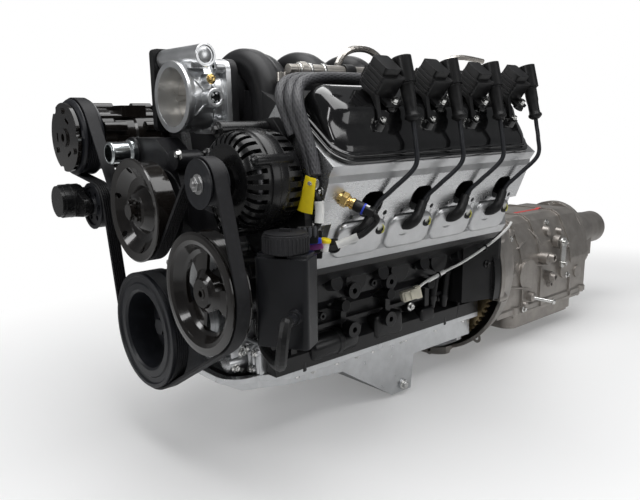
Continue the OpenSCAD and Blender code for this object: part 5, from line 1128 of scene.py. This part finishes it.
def gearbox_fittings():
    """Cast stubs, round bosses and short ribs on the case's left side, screws and a stud among them, and
    a red stripe along its top, all seated on its surface."""
    def on_case(y, z):
        return seat("gearbox_case", [300, y, z], LEFT)

    cast, bright = [], []
    for y, z, r, long in ((846, -8, 10, 14), (860, -58, 9, 12), (874, -80, 7, 12)):
        at = on_case(y, z) - LEFT * 4
        cast.append(lathe([(0, 0), (r + 3, 0), (r + 1.5, 5), (r, 7), (r, long), (r - 0.8, long + 1),
                           (r * 0.62, long + 1), (r * 0.6, long - 8), (0, long - 8)], at, LEFT, 32))
    for y, z, r, high in ((708, 63, 13, 9), (889, 48, 12, 14), (943, 41, 9, 12), (962, 6, 8, 10),
                          (787, -96, 12, 16), (762, -112, 9, 12)):
        cast.append(lathe([(0, 0), (r + 2, 0), (r, 3), (r * 0.94, high), (r * 0.7, high + 2.4),
                           (0, high + 3)], on_case(y, z) - LEFT * 3, LEFT, 32))
    for y0, z0, y1, z1 in ((766, 68, 729, 54), (786, 35, 740, 24), (730, 2, 674, -8), (801, -23, 862, -29),
                           (820, 60, 850, 20), (700, -60, 780, -74)):
        line = np.array([on_case(y0 + (y1 - y0) * t, z0 + (z1 - z0) * t) for t in np.linspace(0, 1, 5)])
        cast.append(tube(line, [1.5, 3.4, 3.6, 3.4, 1.5], 10, (0.2, 0.1, 1.0)))
    make("gearbox_castings", cast, "gearbox_alloy")
    foot = on_case(787, -98) + LEFT * 12
    way = unit([0.78, 0.58, -0.16])
    bright.append(lathe([(0, -6), (4.2, -6), (4.2, 44), (0, 44)], foot, way, 24))
    bright += bolt(foot + way * 44, way, 6.0)
    for y, z in ((755, -121), (948, -68), (668, 60), (905, 66)):
        bright += bolt(on_case(y, z), LEFT, 5.0)
    make("gearbox_screws", bright, "zinc", 35.0)
    near, far = (np.array([seat("gearbox_case", [x, y, 300], TOP) + [0, 0, 0.5]
                           for y in np.linspace(862, 975, 9)]) for x in (20, 30))
    rings = np.stack([near, far, far - [0, 0, 0.8], near - [0, 0, 0.8]], 1)
    ends = [np.broadcast_to(r.mean(0), r.shape) for r in (rings[0], rings[-1])]
    grid = np.concatenate([ends[:1], rings, ends[1:]])
    make("case_stripe", [(grid.reshape(-1, 3), grid_faces(len(grid), 4))], "stripe_red")


# The view and the light

# In pixels: the photo's width and height, the point that the camera faces, and the focal length
PHOTO_WIDE, PHOTO_HIGH, PHOTO_MIDDLE, FOCAL = 640.0, 500.0, (323.8, 267.6), 665.4
# The eye's place in metres, and its azimuth, elevation and roll in degrees
EYE, EYE_TURN = (0.9532, -0.5008, 0.3286), (48.5, 12.7, -0.7)


def camera():
    """The photo's camera, found by fitting the block's known sizes to the photo."""
    az, el, roll = (math.radians(a) for a in EYE_TURN)
    back = np.array([math.sin(az) * math.cos(el), -math.cos(az) * math.cos(el), math.sin(el)])
    right = np.array([math.cos(az), math.sin(az), 0.0])
    up = np.cross(back, right)
    r = math.cos(roll) * right + math.sin(roll) * up
    u = -math.sin(roll) * right + math.cos(roll) * up
    data = bpy.data.cameras.new("camera")
    data.sensor_width = 36.0
    data.lens = FOCAL / PHOTO_WIDE * data.sensor_width
    data.shift_x = -(PHOTO_MIDDLE[0] - PHOTO_WIDE / 2) / PHOTO_WIDE
    data.shift_y = (PHOTO_MIDDLE[1] - PHOTO_HIGH / 2) / PHOTO_WIDE
    data.clip_start, data.clip_end = 0.01, 60.0
    eye = bpy.data.objects.new("camera", data)
    bpy.context.scene.collection.objects.link(eye)
    turn = Matrix(np.column_stack([r, u, back]).tolist()).to_4x4()
    eye.matrix_world = Matrix.Translation(EYE) @ turn
    bpy.context.scene.camera = eye


def lamp(name, at, target, size, power):
    """A white soft lamp of a width and height in metres, turned from its place to a target."""
    data = bpy.data.lights.new(name, "AREA")
    data.shape = "RECTANGLE"
    data.size, data.size_y = size
    data.energy = power
    o = bpy.data.objects.new(name, data)
    bpy.context.scene.collection.objects.link(o)
    back = unit(np.subtract(at, target))
    side = unit(np.cross([0, 0, 1.0] if abs(back[2]) < 0.95 else [0, 1.0, 0], back))
    o.matrix_world = Matrix.Translation(at) @ Matrix(
        np.column_stack([side, np.cross(back, side), back]).tolist()).to_4x4()


def studio():
    """A white floor that turns into plain white light away from the engine, a white sky and soft
    lamps: one over the engine, two in front, one at the photo's right and one behind."""
    low = float(cad_low[2]) - 0.0006
    mesh = bpy.data.meshes.new("floor")
    mesh.from_pydata([(-14, -14, low), (14, -14, low), (14, 14, low), (-14, 14, low)], [], [(0, 1, 2, 3)])
    floor = bpy.data.objects.new("floor", mesh)
    bpy.context.scene.collection.objects.link(floor)
    f = Finish("floor_white")
    x, y, _ = f.parts(f.place)
    along, over = (y - 0.60) / 1.25, (x - 0.02) / 0.82
    distance = along * along + over * over
    f.wear({"Base Color": (0.88, 0.88, 0.88), "Roughness": 0.8, "Specular IOR Level": 0.1})
    seen = f.add("ShaderNodeLightPath", out="Is Camera Ray")
    glow = f.add("ShaderNodeEmission", {}, {"Color": (1.0, 1.0, 1.0), "Strength": seen * 0.75 + 0.25},
                 out="Emission")
    blend = f.add("ShaderNodeMixShader", {}, {0: distance.fade(0.5, 1.9) * 0.8 + 0.2,
                                              1: Wire(f, f.shader.outputs[0]), 2: glow})
    f.feed(f.tree.nodes["Material Output"].inputs["Surface"], blend)
    floor.data.materials.append(f.material)

    world = bpy.data.worlds.new("sky")
    bpy.context.scene.world = world
    world.use_nodes = True
    tree = world.node_tree
    tree.nodes.clear()
    out = tree.nodes.new("ShaderNodeOutputWorld")
    seen, cast = tree.nodes.new("ShaderNodeBackground"), tree.nodes.new("ShaderNodeBackground")
    seen.inputs["Color"].default_value, seen.inputs["Strength"].default_value = (1, 1, 1, 1), 1.0
    cast.inputs["Color"].default_value, cast.inputs["Strength"].default_value = (0.95, 0.97, 1, 1), 0.14
    pick, path = tree.nodes.new("ShaderNodeMixShader"), tree.nodes.new("ShaderNodeLightPath")
    tree.links.new(path.outputs["Is Camera Ray"], pick.inputs[0])
    tree.links.new(cast.outputs[0], pick.inputs[1])
    tree.links.new(seen.outputs[0], pick.inputs[2])
    tree.links.new(pick.outputs[0], out.inputs["Surface"])

    lamp("over", (0.25, 0.35, 1.75), (0.05, 0.45, 0.2), (2.3, 1.7), 44.0)
    lamp("front_left", (-0.9, -1.7, 1.0), (0.0, 0.1, 0.2), (0.4, 1.0), 10.0)
    lamp("front_high", (0.9, -1.5, 1.5), (0.1, 0.1, 0.25), (0.35, 0.9), 7.0)
    lamp("right", (2.3, 1.2, 0.8), (0.1, 0.6, 0.1), (1.2, 1.0), 7.0)
    lamp("behind", (-1.6, 1.9, 1.3), (0.0, 0.5, 0.2), (1.4, 1.0), 9.0)
    bpy.context.scene.view_settings.view_transform = "Standard"


camera()
finishes()
for finish, nodes in CAD_NODES.items():
    for node in nodes.split():
        wear_finish(NODES[node], finish)
for bank in (1, -1):
    valve_cover(bank)
    plug_leads(bank)
    port_shade_cups(bank)
    plug_pads(bank)
    deck_plugs(bank)
drive_belt()
wiring()
alternator()
pulley_nut()
coolant_sensor()
charge_lead()
plug_cluster()
side_lead()
block_castings()
screws()
throttle_details()
front_wing()
rail_cap()
neck_bead()
gearbox_fittings()
studio()
